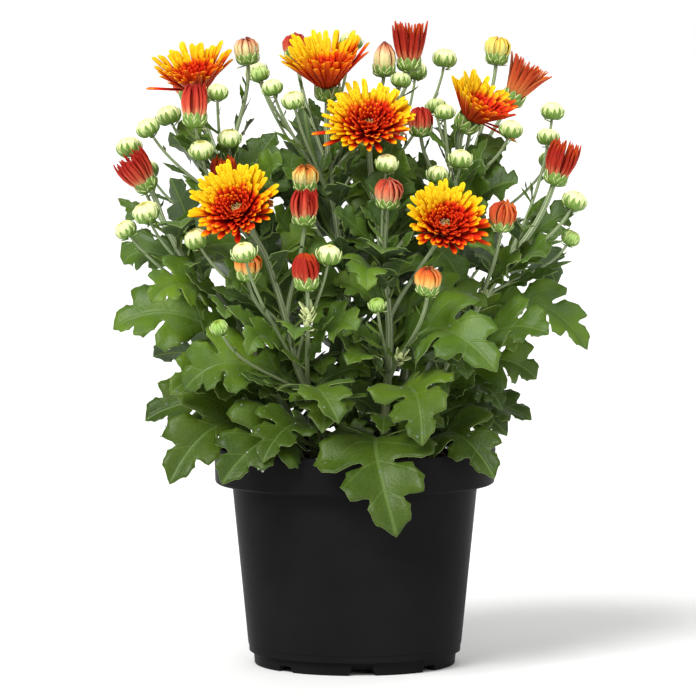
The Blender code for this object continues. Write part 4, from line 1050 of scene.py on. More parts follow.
# Rings along each kind of petal, its width and how far it rolls in at each, and the points of its two faces
petalShapes = {
    "ray": {
        "along": [0.0, 0.12, 0.28, 0.46, 0.62, 0.76, 0.88, 0.955, 1.0],
        "widths": [0.34, 0.50, 0.64, 0.78, 0.90, 1.0, 0.98, 0.78, 0.32],
        "rolls": [1.9, 1.8, 1.6, 1.4, 1.2, 1.05, 0.95, 0.8, 0.5],
        "top": [-1.0, -0.5, 0.0, 0.5, 1.0],
        "bottom": [0.7, 0.0, -0.7],
        "thickness": 0.42,
    },
    "innerRay": {
        "along": [0.0, 0.25, 0.55, 0.80, 0.94, 1.0],
        "widths": [0.45, 0.66, 0.88, 1.0, 0.80, 0.34],
        "rolls": [1.6, 1.5, 1.3, 1.1, 0.9, 0.6],
        "top": [-1.0, 0.0, 1.0],
        "bottom": [0.75, 0.0, -0.75],
        "thickness": 0.42,
    },
    "quill": {
        "along": [0.0, 0.16, 0.34, 0.54, 0.74, 0.90, 1.0],
        "widths": [0.70, 0.92, 1.0, 0.96, 0.82, 0.54, 0.16],
        "rolls": [1.3, 1.3, 1.25, 1.25, 1.3, 1.4, 1.0],
        "top": [-1.0, -0.5, 0.0, 0.5, 1.0],
        "bottom": [0.75, 0.0, -0.75],
        "thickness": 0.45,
    },
    "bud": {
        "along": [0.0, 0.18, 0.40, 0.62, 0.82, 1.0],
        "widths": [0.62, 0.90, 1.0, 0.92, 0.66, 0.20],
        "rolls": [0.8, 0.8, 0.75, 0.75, 0.8, 0.6],
        "top": [-1.0, 0.0, 1.0],
        "bottom": [0.8, 0.0, -0.8],
        "thickness": 0.55,
    },
    "scale": {
        "along": [0.0, 0.2, 0.45, 0.70, 0.88, 1.0],
        "widths": [0.70, 0.95, 1.0, 0.84, 0.50, 0.12],
        "rolls": [0.6, 0.6, 0.6, 0.55, 0.5, 0.4],
        "top": [-1.0, 0.0, 1.0],
        "bottom": [0.75, 0.0, -0.75],
        "thickness": 0.40,
    },
    "cupBract": {
        "along": [0.0, 0.25, 0.52, 0.76, 0.92, 1.0],
        "widths": [0.78, 1.0, 1.0, 0.88, 0.56, 0.16],
        "rolls": [0.7, 0.7, 0.7, 0.65, 0.5, 0.3],
        "top": [-1.0, -0.55, 0.0, 0.55, 1.0],
        "bottom": [0.75, 0.0, -0.75],
        "thickness": 0.36,
    },
}


# A petal's middle line seen from the side, as distances out from the axis and up it
def leaningLine(root, rise, lean, bend, length):
    share = np.linspace(0.0, 1.0, 25)
    angle = np.radians(lean + bend * share)
    step = length / (len(share) - 1)
    outward = np.concatenate([[0.0], np.cumsum((np.cos(angle[1:]) + np.cos(angle[:-1])) / 2)]) * step
    upward = np.concatenate([[0.0], np.cumsum((np.sin(angle[1:]) + np.sin(angle[:-1])) / 2)]) * step
    return np.stack([root + outward, rise + upward], axis=-1)


# The same from four pulling points, evened out along its length
def pulledLine(a, b, c, d):
    t = np.linspace(0.0, 1.0, 41)[:, None]
    a, b, c, d = (np.array(p, float) for p in (a, b, c, d))
    line = (1 - t) ** 3 * a + 3 * (1 - t) ** 2 * t * b + 3 * (1 - t) * t ** 2 * c + t ** 3 * d
    run = np.concatenate([[0.0], np.cumsum(np.linalg.norm(np.diff(line, axis=0), axis=1))])
    even = np.linspace(0.0, run[-1], 25)
    return np.stack([np.interp(even, run, line[:, 0]), np.interp(even, run, line[:, 1])], axis=-1)


# One petal or bract: rings along its middle line, each an arc that rolls its rims to the inner face
def addPetal(pile, shape, stand, turn, line, width, tint, finish=0, twist=0.0):
    look = petalShapes[shape]
    along = np.array(look["along"])
    fine = np.linspace(0.0, 1.0, len(line))
    x = np.interp(along, fine, line[:, 0])
    z = np.interp(along, fine, line[:, 1])
    slope = np.gradient(line, axis=0)
    tilt = np.interp(along, fine, np.unwrap(np.arctan2(slope[:, 1], slope[:, 0])))
    half = width / 2 * np.array(look["widths"])
    roll = np.array(look["rolls"])
    shares = np.array(look["top"] + look["bottom"])
    under = np.array([0.0] * len(look["top"]) + [1.0] * len(look["bottom"]))
    arc = roll[:, None] * shares[None, :]
    side = half[:, None] * np.sin(arc) / roll[:, None]
    lift = half[:, None] * (1 - np.cos(arc)) / roll[:, None] - under[None, :] * look["thickness"]
    turned = math.radians(twist) * along[:, None]
    side, lift = side * np.cos(turned) - lift * np.sin(turned), side * np.sin(turned) + lift * np.cos(turned)
    rings = np.stack([x[:, None] - np.sin(tilt)[:, None] * lift, side,
                      z[:, None] + np.cos(tilt)[:, None] * lift], axis=-1)
    growth = np.stack([np.broadcast_to(along[:, None], side.shape),
                       np.broadcast_to(np.abs(shares)[None, :], side.shape),
                       np.broadcast_to(under[None, :], side.shape)], axis=-1)
    matrix = stand @ Matrix.Rotation(math.radians(turn), 4, "Z")
    addRings(pile, asRows(matrix, rings * mm), growth, tint, finish)


# A turned knob: heights and radii up its axis
def addKnob(pile, stand, profile, sides, tint, finish, under=0.0):
    turn = np.linspace(0.0, 2 * math.pi, sides, endpoint=False)
    rings = np.array([[wide * np.cos(turn), wide * np.sin(turn), np.full(sides, high)]
                      for high, wide in profile]).transpose(0, 2, 1)
    growth = [[(i / (len(profile) - 1), 0.5, under)] * sides for i in range(len(profile))]
    addRings(pile, asRows(stand, rings * mm), growth, tint, finish)


# Pairs run from the innermost petal to the outermost
bloomLook = {
    "petals": 228,
    "crowding": 0.84,  # below 1 puts more of them in the outer rows
    "lean": 84.0,
    "root": (2.3, 5.4),
    "rise": (3.4, 1.6),
    "length": 4.4,
    "width": (1.85, 3.55),
    "bend": (10.0, 3.0),
    "innerPetals": 0.50,
    # how slowly the petals lengthen outwards in a flat bloom, and in a cupped one
    "filling": (0.92, 1.45),
    "cupped": (22.0, 30.0),
    # petals that point this way ripen to yellow first, and those that point away stay red
    "ripeWay": (-0.30, 0.0, 0.95),
    "ripeShare": 0.78,
    "ripeFrom": (0.30, 0.80),
    "core": [(0.6, 3.4), (1.6, 4.6), (2.6, 4.2), (3.2, 2.8), (3.4, 0.6)],
    "florets": 52,
    "floretSpread": 2.6,
    # blooms whose petals stand otherwise than in the part: facing, radius, lean, and how unripe they are
    "poses": {
        "bloom_top": ((-0.09, -0.40, 0.91), 31.5, 51, 0.18),
        "bloom_top_left": ((-0.14, -0.46, 0.88), 27.5, 48, 0.24),
        "bloom_top_right": ((0.50, -0.40, 0.77), 25.5, 49, 0.18),
        "bloom_upper_middle": ((0.0, -0.70, 0.71), 25.4, 23, 0.0),
        "bloom_left": ((-0.22, -0.84, 0.49), 26.5, 36, 0.08),
        "bloom_right": ((0.12, -0.80, 0.58), 24.6, 36, 0.12),
    },
    # stray petals: turn, lean, length
    "strays": {
        "bloom_upper_middle": [(188, -4, 23), (212, 2, 21)],
        "bloom_top_left": [(195, 6, 20), (207, 14, 18)],
        "bloom_top_right": [(-38, 2, 22), (-58, 2, 20)],
        "bloom_right": [(-25, -4, 19)],
    },
}


def addBloom(row, rng):
    name, _, _, _, seat, axis, radius, spread = row
    look = bloomLook
    axis, radius, spread, unripe = look["poses"].get(name, (axis, radius, spread, 0.0))
    stand = facing(metres(seat), Vector(axis))
    turned = stand.to_3x3()
    pile = newPile()
    addKnob(pile, stand, look["core"], 14, 1.0, 0)
    flat, wide = look["cupped"]
    filling = between(*look["filling"], clamp((spread - flat) / wide))
    first, last = look["ripeFrom"]
    for k in range(look["petals"]):
        share = (k / (look["petals"] - 1)) ** look["crowding"]
        root = between(*look["root"], share ** 0.5)
        rise = between(*look["rise"], share)
        lean = between(look["lean"], spread - 2.0, share ** 0.85) + rng.gauss(0, 3.8)
        bend = look["bend"][0] * (1 - share) + look["bend"][1] * share + rng.gauss(0, 6)
        length = between(look["length"], radius - root * 0.9, share ** filling) * rng.uniform(0.90, 1.07)
        width = between(*look["width"], share ** 0.7)
        turn = k * goldenTurn + rng.gauss(0, 4)
        way = turned @ Vector((math.cos(math.radians(turn)), math.sin(math.radians(turn)), 0.0))
        ripe = way.dot(Vector(look["ripeWay"])) * look["ripeShare"] * (0.45 + 0.55 * share)
        grown = clamp((share - first) / (last - first))
        young = 1.0 - grown * grown * (3.0 - 2.0 * grown)
        tint = clamp(0.12 + unripe + 0.92 * young - ripe + rng.gauss(0, 0.07), -0.10)
        shape = "innerRay" if share < look["innerPetals"] else "ray"
        addPetal(pile, shape, stand, turn, leaningLine(root, rise, lean, bend, length),
                 width * rng.uniform(0.9, 1.1), tint, 0, rng.gauss(0, 10))
    for turn, lean, length in look["strays"].get(name, []):
        line = leaningLine(look["root"][1], look["rise"][1], lean, 6.0, length)
        addPetal(pile, "ray", stand, turn, line, 2.4, 0.7)
    for k in range(look["florets"]):
        share = (k + 0.5) / look["florets"]
        far = look["floretSpread"] * share ** 0.5
        turn = math.radians(k * goldenTurn)
        place = Matrix.Translation(Vector((far * math.cos(turn), far * math.sin(turn), 2.8)) * mm)
        lift = Matrix.Rotation(math.radians(rng.uniform(-14, 14)), 4, "Y")
        tall = 1.4 + 1.6 * share + rng.uniform(-0.3, 0.4)
        profile = [(0.0, 0.30), (tall * 0.7, 0.36), (tall, 0.46), (tall + 0.1, 0.2)]
        addKnob(pile, stand @ place @ lift, profile, 6, rng.random(), 1)
    makePiece("petals_" + name, pile, ["flame", "disc"], "yellow_red_petals", [name])


# How each half-open head and coloured bud is dressed: its petal colour and how far it has opened
headDress = {
    "half_open_far_left": ("coral", "cut"),
    "half_open_top_left": ("coral", "barrel"),
    "half_open_top": ("scarlet", "flared"),
    "half_open_top_right": ("ember", "splayed"),
    "half_open_far_right": ("scarlet", "open"),
    "half_open_behind_left": ("scarlet", "open"),
    "half_open_lower_middle": ("scarlet", "closing"),
    "half_open_back_right": ("coral", "open"),
    "half_open_back_left": ("coral", "barrel"),
    "half_open_right": ("ember", "closing"),
    "half_open_left_middle": ("coral", "barrel"),
    "half_open_upper_right": ("coral", "closing"),
    "colour_bud_middle": ("rose", "closing"),
    "colour_bud_lower_right": ("orange", "dome"),
    "colour_bud_lower_left": ("orange", "dome"),
    "colour_bud_top": ("blush", "pointed"),
    "colour_bud_top_left": ("blush", "dome"),
    "colour_bud_behind_top": ("coral", "dome"),
    "colour_bud_upper_left": ("cream", "dome"),
    "colour_bud_top_right": ("lemon", "dome"),
    "colour_bud_back_right": ("coral", "closing"),
}
# Each way of opening: petals and their width, then the pull points of the outermost petal as shares of
# the cup's radius, the head's radius and its length, how much of the height the inner petals reach, how
# unevenly they end, and how far they twist
openings = {
    "open": (52, 3.1, (1.16, -0.6), (1.26, 0.50), (0.86, 1.0), 0.86, 0.12, 16.0),
    "cut": (52, 3.2, (1.20, -0.6), (1.22, 0.50), (1.02, 1.0), 0.78, 0.06, 14.0),
    "flared": (52, 3.1, (1.04, -0.5), (0.98, 0.45), (0.98, 1.0), 0.90, 0.15, 16.0),
    "splayed": (54, 3.3, (1.0, -0.4), (0.64, 0.45), (1.08, 1.0), 0.98, 0.09, 12.0),
    "barrel": (42, 3.4, (1.26, -0.6), (1.34, 0.58), (0.56, 1.0), 0.98, 0.13, 16.0),
    "closing": (36, 3.7, (1.34, -0.6), (1.38, 0.74), (0.28, 1.0), 0.98, 0.10, 38.0),
    "dome": (30, 4.4, (1.36, -0.6), (1.38, 0.96), (0.20, 0.99), 0.80, 0.05, 30.0),
    "pointed": (30, 4.0, (1.36, -0.6), (1.24, 0.60), (0.08, 1.04), 0.94, 0.06, 26.0),
}


def addHead(row, rng):
    name, kind, _, _, seat, axis, radius, length = row
    paint, style = headDress[name]
    petals, width, waist, shoulder, tip, inner, scatter, twist = openings[style]
    cup = cupLook["radius"][kind] - 0.5
    drop = cupLook["drop"][kind]
    stand = facing(metres(seat), Vector(axis))
    pile = newPile()
    core = [(-drop * 0.5, 3.0), (0.0, cup * 0.80), (length * 0.4, cup * 0.66), (length * 0.6, 1.0)]
    addKnob(pile, stand, core, 12, 0.5, 0, 1.0)
    shape = "bud" if style in ("dome", "pointed", "closing") else "quill"
    for k in range(petals):
        share = k / (petals - 1)
        out = 0.16 + 0.84 * share ** 0.55
        uneven = min(0.06, rng.gauss(-0.02, scatter))
        tall = length * between(inner, 1.0, share) * (1 + uneven)
        wide = out * (1 + rng.gauss(0, 0.04))
        # one outer petal in eight of a closing head comes loose at the tip
        loose = 2.6 if style in ("closing", "barrel") and k % 8 == 5 and share > 0.5 else 1.0
        end = radius * min(1.1, tip[0] * loose) * wide * (1 + rng.gauss(0, 0.08))
        line = pulledLine((0.4 + 1.8 * share, -drop * 0.62), (cup * waist[0] * wide, waist[1] * drop * 0.6),
                          (radius * shoulder[0] * wide, tall * shoulder[1]), (end, tall * tip[1]))
        addPetal(pile, shape, stand, k * goldenTurn + rng.gauss(0, 9), line,
                 width * (0.66 + 0.34 * share) * rng.uniform(0.80, 1.20) * (radius / 7.0) ** 0.5,
                 rng.random(), 0, twist + rng.gauss(0, 18))
    makePiece("petals_" + name, pile, [paint], "red_petals" if kind == "brush" else "bud_petals", [name])


budLook = {
    "petals": 25,
    "petalLength": 1.97,
    "petalWidth": 0.62,
    "rootRadius": 0.50,
    "rootHeight": -0.60,
    "lean": 20.0,
    "bend": 172.0,
    # bracts of each layer: count, length, bend, width, paleness
    "bracts": [(9, 0.84, 76.0, 0.48, 0.1), (11, 1.22, 106.0, 0.46, 0.6)],
    "core": [(-0.62, 0.4), (-0.35, 0.78), (0.0, 0.86), (0.35, 0.70), (0.52, 0.36)],
}


def addGreenBud(pile, row, rng):
    _, _, _, _, seat, axis, radius, _ = row
    look = budLook
    stand = facing(metres(seat), Vector(axis))
    addKnob(pile, stand, [(high * radius, wide * radius) for high, wide in look["core"]], 12, 0.5, 1, 1.0)
    closing = rng.uniform(0.95, 1.06)
    # the smallest buds are the greenest
    green = clamp(1.1 * (5.6 - radius), 0.0, 1.6)
    for k in range(look["petals"]):
        share = k / (look["petals"] - 1)
        line = leaningLine(radius * look["rootRadius"] * (0.82 + 0.18 * share), radius * look["rootHeight"],
                           look["lean"] + rng.gauss(0, 1.5), look["bend"] * closing,
                           radius * look["petalLength"] * (0.94 + 0.06 * share))
        addPetal(pile, "bud", stand, k * goldenTurn + rng.gauss(0, 2), line, radius * look["petalWidth"],
                 green + 0.4 * rng.random(), 1)
    for count, long, bend, wide, paleness in look["bracts"]:
        start = rng.uniform(0, 360)
        for k in range(count):
            line = leaningLine(radius * 0.50, radius * (look["rootHeight"] - 0.10), 14.0 + rng.gauss(0, 2),
                               bend + rng.gauss(0, 6), radius * long * rng.uniform(0.92, 1.1))
            addPetal(pile, "scale", stand, start + 360.0 * k / count + rng.gauss(0, 4), line, radius * wide,
                     paleness)
    # small narrow bracts under the bud
    for _ in range(rng.choice((2, 3, 3))):
        line = leaningLine(radius * 0.22, -radius * 0.92, rng.uniform(-10, 30), rng.uniform(0, 30),
                           rng.uniform(2.6, 4.6))
        addPetal(pile, "scale", stand, rng.uniform(0, 360), line, 1.0, 0.0)


# Layers of bracts on a cup: how many, how far round the cup they start, how far above its rim they
# end as a share of the drop, how pale they are, and their width as a share of the cup's
cupBracts = [(7, 0.20, -0.42, 0.0, 0.74), (8, 0.14, -0.08, 0.2, 0.78), (10, 0.08, 0.18, 0.7, 0.68)]


def addCup(pile, row, rng):
    _, kind, _, _, seat, axis, _, _ = row
    stand = facing(metres(seat), Vector(axis))
    drop = cupLook["drop"][kind]
    wide = cupLook["radius"][kind]
    body = [(-drop * math.cos(math.radians(turn)), 0.90 * wide * math.sin(math.radians(turn)))
            for turn in (10.0, 28.0, 46.0, 64.0, 82.0)]
    addKnob(pile, stand, body + [(0.1, 0.6)], 18, 0.2, 0)
    for layer, (count, first, over, paleness, span) in enumerate(cupBracts):
        start = rng.uniform(0, 360)
        for k in range(count):
            top = drop * (over + rng.uniform(-0.10, 0.10))
            reach = wide * (1.0 - 0.02 * layer) + rng.uniform(-0.1, 0.3)
            line = pulledLine((wide * first, -drop * 0.98), (wide * 0.84, -drop * 1.10),
                              (wide * 1.10, -drop * 0.50 + top * 0.3), (reach, top))
            addPetal(pile, "cupBract", stand, start + 360.0 * k / count + rng.gauss(0, 5), line,
                     wide * span * rng.uniform(0.9, 1.1), paleness)
    for _ in range(3):
        line = leaningLine(1.2, -drop - 0.4, rng.uniform(-15, 30), rng.uniform(0, 40), rng.uniform(3.5, 6.5))
        addPetal(pile, "scale", stand, rng.uniform(0, 360), line, 1.2, 0.0)


# High leaves between the flower stalks, read from the picture: shoot, height on the stem, bend
# point, tip, width share, roll and outline
betweenStalks = [
    ("back_left", 226, (-54, 6, 252), (-46, 14, 270), 0.72, 0, "middle"),
    ("centre", 222, (-30, 10, 256), (-36, 14, 279), 0.50, 0, "small"),
    ("centre", 208, (-34, 12, 236), (-28, 18, 263), 0.70, 0, "middle"),
    ("centre", 236, (-8, 12, 258), (-4, 16, 279), 0.44, 0, "small"),
    ("centre", 228, (-20, 16, 246), (-18, 20, 270), 0.50, 20, "small"),
    ("centre", 214, (10, 12, 236), (16, 16, 262), 0.62, 0, "middle"),
    ("front_right", 205, (0, -22, 232), (-6, -20, 254), 0.56, 0, "small"),
    ("back_right", 222, (58, 12, 240), (64, 14, 262), 0.60, 0, "middle"),
    ("right", 194, (74, 2, 222), (80, 6, 248), 0.50, 0, "middle"),
    ("back_left", 208, (-72, 8, 232), (-78, 12, 256), 0.56, 0, "middle"),
    ("back", 210, (18, 44, 240), (20, 46, 262), 0.60, 0, "middle"),
    ("centre", 176, (-34, 16, 204), (-46, 22, 226), 0.62, 0, "middle"),
    ("back_left", 176, (-54, 26, 204), (-40, 32, 230), 0.60, 0, "middle"),
    ("back_right", 172, (46, 26, 196), (60, 30, 214), 0.60, 0, "middle"),
    ("back", 200, (-22, 46, 228), (-26, 48, 254), 0.62, 0, "middle"),
]
# Small pale tufts of young leaves, at these steps up the stalk of a head
sideShoots = {"half_open_lower_middle": (10, 11), "colour_bud_lower_right": (4,), "half_open_right": (3,)}
tuftLook = {
    "leaves": 13,
    "root": 1.0,
    "spread": 3.5,
    "lean": (22, 72),
    "bend": (10, 80),
    "length": (3.4, 6.0),
    "width": (2.2, 3.4),
    "paleness": 4.0,
}


def addSideShoot(pile, point, along, rng):
    look = tuftLook
    stand = facing(point, along)
    for k in range(look["leaves"]):
        line = leaningLine(look["root"], rng.uniform(-look["spread"], look["spread"]),
                           rng.uniform(*look["lean"]), rng.uniform(*look["bend"]),
                           rng.uniform(*look["length"]))
        addPetal(pile, "scale", stand, k * goldenTurn, line, rng.uniform(*look["width"]), look["paleness"])


# Each kind of stem: radius at foot and tip, points round it, and ribs
ribbedStems = {
    "main": (2.2, 1.3, 18, 9),
    "stalk": (1.15, 0.90, 14, 7),
    "budStalk": (0.851, 0.666, 14, 7),
}
ribDepth = 0.07  # as a share of the radius


# A ribbed stem along a path
def addStem(pile, path, kind):
    foot, tip, sides, ribs = ribbedStems[kind]
    rings = []
    growth = []
    across = Vector((1, 0, 0))
    run = 0.0
    for i, point in enumerate(path):
        before = path[max(0, i - 1)]
        after = path[min(len(path) - 1, i + 1)]
        along = (after - before).normalized()
        across = (across - along * across.dot(along)).normalized()
        other = along.cross(across)
        run += (point - before).length
        ring = []
        for k in range(sides):
            turn = 2 * math.pi * k / sides
            radius = foot + (tip - foot) * i / (len(path) - 1)
            wide = radius * (1 + ribDepth * math.cos(ribs * turn)) * mm
            ring.append(point + (across * math.cos(turn) + other * math.sin(turn)) * wide)
        rings.append(ring)
        growth.append([(run / mm * 0.01, k / sides, 0.0) for k in range(sides)])
    addRings(pile, np.array(rings), growth, 0.5)


# Half outline of each toothed leaf: along the midrib and out from it, as shares of the leaf's length
leafOutlines = {
    "large": [(0.0, 0.014), (0.06, 0.012), (0.12, 0.014), (0.165, 0.028), (0.180, 0.065), (0.186, 0.112),
              (0.200, 0.150), (0.222, 0.194), (0.246, 0.172), (0.262, 0.210), (0.288, 0.194), (0.306, 0.156),
              (0.322, 0.110), (0.342, 0.070), (0.362, 0.086), (0.384, 0.150), (0.398, 0.208), (0.400, 0.268),
              (0.430, 0.252), (0.452, 0.300), (0.462, 0.360), (0.498, 0.330), (0.530, 0.362), (0.566, 0.408),
              (0.588, 0.362), (0.618, 0.366), (0.650, 0.360), (0.648, 0.306), (0.668, 0.268), (0.640, 0.220),
              (0.618, 0.160), (0.602, 0.104), (0.622, 0.082), (0.644, 0.122), (0.656, 0.170), (0.664, 0.222),
              (0.694, 0.206), (0.722, 0.240), (0.752, 0.282), (0.772, 0.238), (0.800, 0.244), (0.832, 0.238),
              (0.828, 0.190), (0.818, 0.140), (0.820, 0.092), (0.846, 0.108), (0.868, 0.148), (0.888, 0.116),
              (0.916, 0.124), (0.944, 0.114), (0.946, 0.076), (0.964, 0.056), (0.984, 0.030), (1.0, 0.0)],
    "middle": [(0.0, 0.016), (0.08, 0.014), (0.15, 0.020), (0.200, 0.050), (0.225, 0.100), (0.248, 0.152),
               (0.276, 0.202), (0.304, 0.174), (0.338, 0.212), (0.356, 0.160), (0.372, 0.104), (0.396, 0.074),
               (0.424, 0.132), (0.448, 0.204), (0.460, 0.274), (0.502, 0.250), (0.544, 0.312), (0.566, 0.272),
               (0.604, 0.290), (0.646, 0.294), (0.646, 0.232), (0.640, 0.166), (0.628, 0.104), (0.660, 0.130),
               (0.694, 0.186), (0.730, 0.238), (0.752, 0.192), (0.796, 0.208), (0.812, 0.148), (0.822, 0.090),
               (0.856, 0.118), (0.896, 0.128), (0.912, 0.078), (0.956, 0.050), (1.0, 0.0)],
    "small": [(0.0, 0.018), (0.10, 0.016), (0.20, 0.030), (0.27, 0.075), (0.318, 0.125), (0.352, 0.172),
              (0.392, 0.144), (0.434, 0.178), (0.454, 0.120), (0.476, 0.084), (0.520, 0.138), (0.560, 0.198),
              (0.608, 0.228), (0.634, 0.178), (0.690, 0.194), (0.700, 0.126), (0.720, 0.080), (0.768, 0.114),
              (0.820, 0.138), (0.850, 0.086), (0.925, 0.056), (1.0, 0.0)],
    "bract": [(0.0, 0.030), (0.15, 0.046), (0.34, 0.074), (0.50, 0.086), (0.58, 0.112), (0.64, 0.074),
              (0.80, 0.048), (1.0, 0.0)],
}
leafLook = {
    "outlineSteps": {"large": 1, "middle": 1, "small": 1, "bract": 2},
    "blunting": 0.175,
    "grid": 0.044,
    "edgeKeep": 0.016,
    "thickness": 0.30,
    "wave": 0.020,
    "crumple": 0.055,
    "quilt": 0.0105,
    "droop": 0.22,
    "sway": 0.05,
    "leftShrink": 0.94,
    "leftShift": 0.016,
    "foldChange": (-3, 9),
    "waves": (2.3, 5.3),  # ruffles along the edge, a strong set and a weaker one
    "grooveWidth": 0.16,
    "grooveReach": 0.25,
    "midribWidth": 0.02,
    "stalkWidth": 0.9,
    "stalkShare": 0.12,
    # drops of water on a leaf, how high up the plant they are found in metres, and their radii
    "drops": (4, 7, 10),
    "dropsBelow": 0.160,
    "dropSizes": (0.4, 0.5, 0.65, 0.85),
}


# A leaf lying flat: its points, its triangles and the loop round its edge
def flatLeaf(name):
    look = leafLook
    half = [Vector((s, v, 0.0)) for s, v in leafOutlines[name]]
    sharp = smoothPath(half, look["outlineSteps"][name])
    blunt = look["blunting"]
    smooth = [b * (1 - 2 * blunt) + (a + c) * blunt for a, b, c in zip(sharp, sharp[1:], sharp[2:])]
    smooth = sharp[:1] + smooth + sharp[-1:]
    right = [(p.x, max(0.0, p.y)) for p in smooth]
    left = [(p.x + look["leftShift"] * math.sin(9.0 * p.x) * math.sin(math.pi * p.x),
             -max(0.0, p.y) * look["leftShrink"]) for p in smooth[:-1]]
    ring = np.array(right + left[::-1])
    points = [Vector(p) for p in ring]
    widest = max(v for _, v in leafOutlines[name])
    step = look["grid"]
    rows = int(widest / step) + 1
    for i in range(int(1.0 / step) + 1):
        for j in range(-rows, rows + 1):
            s = step * (i + 0.5 * (j % 2))
            v = step * 0.9 * j
            if np.hypot(ring[:, 0] - s, ring[:, 1] - v).min() > look["edgeKeep"]:
                points.append(Vector((s, v)))
    spots, _, faces, *_ = geometry.delaunay_2d_cdt(points, [], [list(range(len(ring)))], 1, 1e-5)
    used = sorted({i for face in faces for i in face})
    renamed = {old: new for new, old in enumerate(used)}
    faces = [[renamed[i] for i in face] for face in faces]
    edges = {(face[i], face[(i + 1) % 3]): True for face in faces for i in range(3)}
    rim = [pair for pair in edges if pair[::-1] not in edges]
    return {"spots": np.array([spots[i] for i in used]), "faces": np.array(faces), "rim": np.array(rim),
            "widest": widest}


flatLeaves = {name: flatLeaf(name) for name in leafOutlines}
print("flat leaves", {name: len(flat["faces"]) for name, flat in flatLeaves.items()})


# Lays a flat leaf along its bent midrib, waves it, and gives it two faces and a rim
def addLeaf(pile, spec, base, tint, rng, drops=0):
    _, bend, tip, width, roll, cut = spec
    look = leafLook
    flat = flatLeaves[cut]
    faces, rim = flat["faces"], flat["rim"]
    length = leafLength(base, bend, tip)
    across = length if cut == "bract" else width * length / (2.0 * flat["widest"])
    table = np.linspace(0.0, 1.0, 41)
    s, v = flat["spots"].T
    # the midrib's place, its upward and its sideways direction beside every point
    centre, up, cross = [np.stack([np.interp(s, table, np.array(rows)[:, k]) for k in range(3)], axis=-1)
                         for rows in zip(*[leafFrame(step, base, bend, tip, roll) for step in table])]
    aside = np.abs(v)
    reach = aside / flat["widest"]
    foldTurn = math.radians(leafRule["fold"] + rng.uniform(*look["foldChange"]))
    phase = rng.uniform(0, 6.28)
    lift = math.sin(foldTurn) * np.maximum(0.0, aside - 0.03) * across
    lift -= look["droop"] * rng.uniform(0.5, 1.5) * reach ** 2.2 * aside * across
    strong, weak = look["waves"]
    wave = np.sin(2 * math.pi * strong * s + phase + (v > 0) * 2.1)
    wave = wave + 0.7 * np.sin(2 * math.pi * weak * s - phase)
    lift += look["wave"] * length * wave * reach ** 1.5
    # each lobe curls its own way
    bumps = np.array([noise.noise(Vector((3.4 * a, 4.2 * b, phase * 3.0))) for a, b in zip(s, v)])
    lift += look["crumple"] * length * bumps * np.minimum(1.0, 0.25 + reach)
    swept = (s - greenLook["veinSweep"] * aside - greenLook["veinStart"]) / greenLook["veinStep"]
    groove = np.exp(-((swept - np.round(swept)) / look["grooveWidth"]) ** 2)
    groove = groove * np.exp(-aside / look["grooveReach"])
    groove = np.maximum(groove, 1.3 * np.exp(-(aside / look["midribWidth"]) ** 2))
    lift -= look["quilt"] * length * groove * (cut != "bract")
    sway = look["sway"] * length * math.sin(phase) * np.sin(math.pi * s)
    top = centre + cross * (v * across * math.cos(foldTurn) + sway)[:, None]
    top = top + up * (lift * np.minimum(1, s * 8))[:, None]
    normal = np.cross(top[faces[:, 1]] - top[faces[:, 0]], top[faces[:, 2]] - top[faces[:, 0]])
    spread = np.zeros_like(top)
    for corner in range(3):
        np.add.at(spread, faces[:, corner], normal)
    spread /= np.maximum(np.linalg.norm(spread, axis=1, keepdims=True), 1e-12)
    if (spread * up).sum() < 0:
        spread = -spread
    thick = look["thickness"] * mm * (0.45 + 0.55 * np.clip(1.2 - reach, 0, 1))
    stalk = np.exp(-(s / look["stalkShare"]) ** 2) * look["stalkWidth"] * mm
    bottom = top - spread * (thick + stalk)[:, None]
    first = addPoints(pile, top, np.stack([s, aside, np.zeros_like(s)], axis=-1), tint)
    second = addPoints(pile, bottom, np.stack([s, aside, np.ones_like(s)], axis=-1), tint)
    quads = np.stack([rim[:, 0] + first, rim[:, 0] + second, rim[:, 1] + second, rim[:, 1] + first], axis=-1)
    pile["faces"] += (faces + first).tolist() + (faces[:, ::-1] + second).tolist() + quads.tolist()
    pile["finish"] += [0] * (2 * len(faces) + len(quads))
    wet = [i for i in range(len(s)) if 0.2 < s[i] < 0.97 and spread[i][2] > 0.25]
    for _ in range(drops if wet else 0):
        i = rng.choice(wet)
        size = rng.choice(look["dropSizes"])
        addKnob(pile, facing(Vector(top[i]), Vector(spread[i])),
                [(-0.3 * size, 0.7 * size), (0.1 * size, size), (0.5 * size, 0.78 * size),
                 (0.72 * size, 0.25 * size)], 7, 0.5, 1)


# Leaves that the part's own source leaves out: more inside the bush, in the forks and up the stalks
extraLeaves = {
    "start": 108.0,
    "step": 7.5,
    "topHeight": 250.0,
    "firstTurn": 60.0,
    "turn": 99.0,
    "length": (46.0, 30.0),
    "lengthChange": (0.85, 1.1),
    "rise": (0.30, 0.75, 0.15),
    "sag": (0.45, 0.10, 0.15),
    "out": (0.60, 0.80),
    "width": (0.46, 0.62),
    "roll": 25.0,
    "smallFrom": 0.55,
    "room": 0.6 * mm,
    "ownShare": 0.45,
    # steps up the stalk, shortest and longest, outline, width share
    "stalkLeaves": [(1, 22.0, 36.0, "small", 0.42), (4, 15.0, 26.0, "small", 0.34),
                    (6, 9.0, 17.0, "bract", 0.0), (8, 8.0, 15.0, "bract", 0.0),
                    (11, 5.0, 10.0, "bract", 0.0)],
}


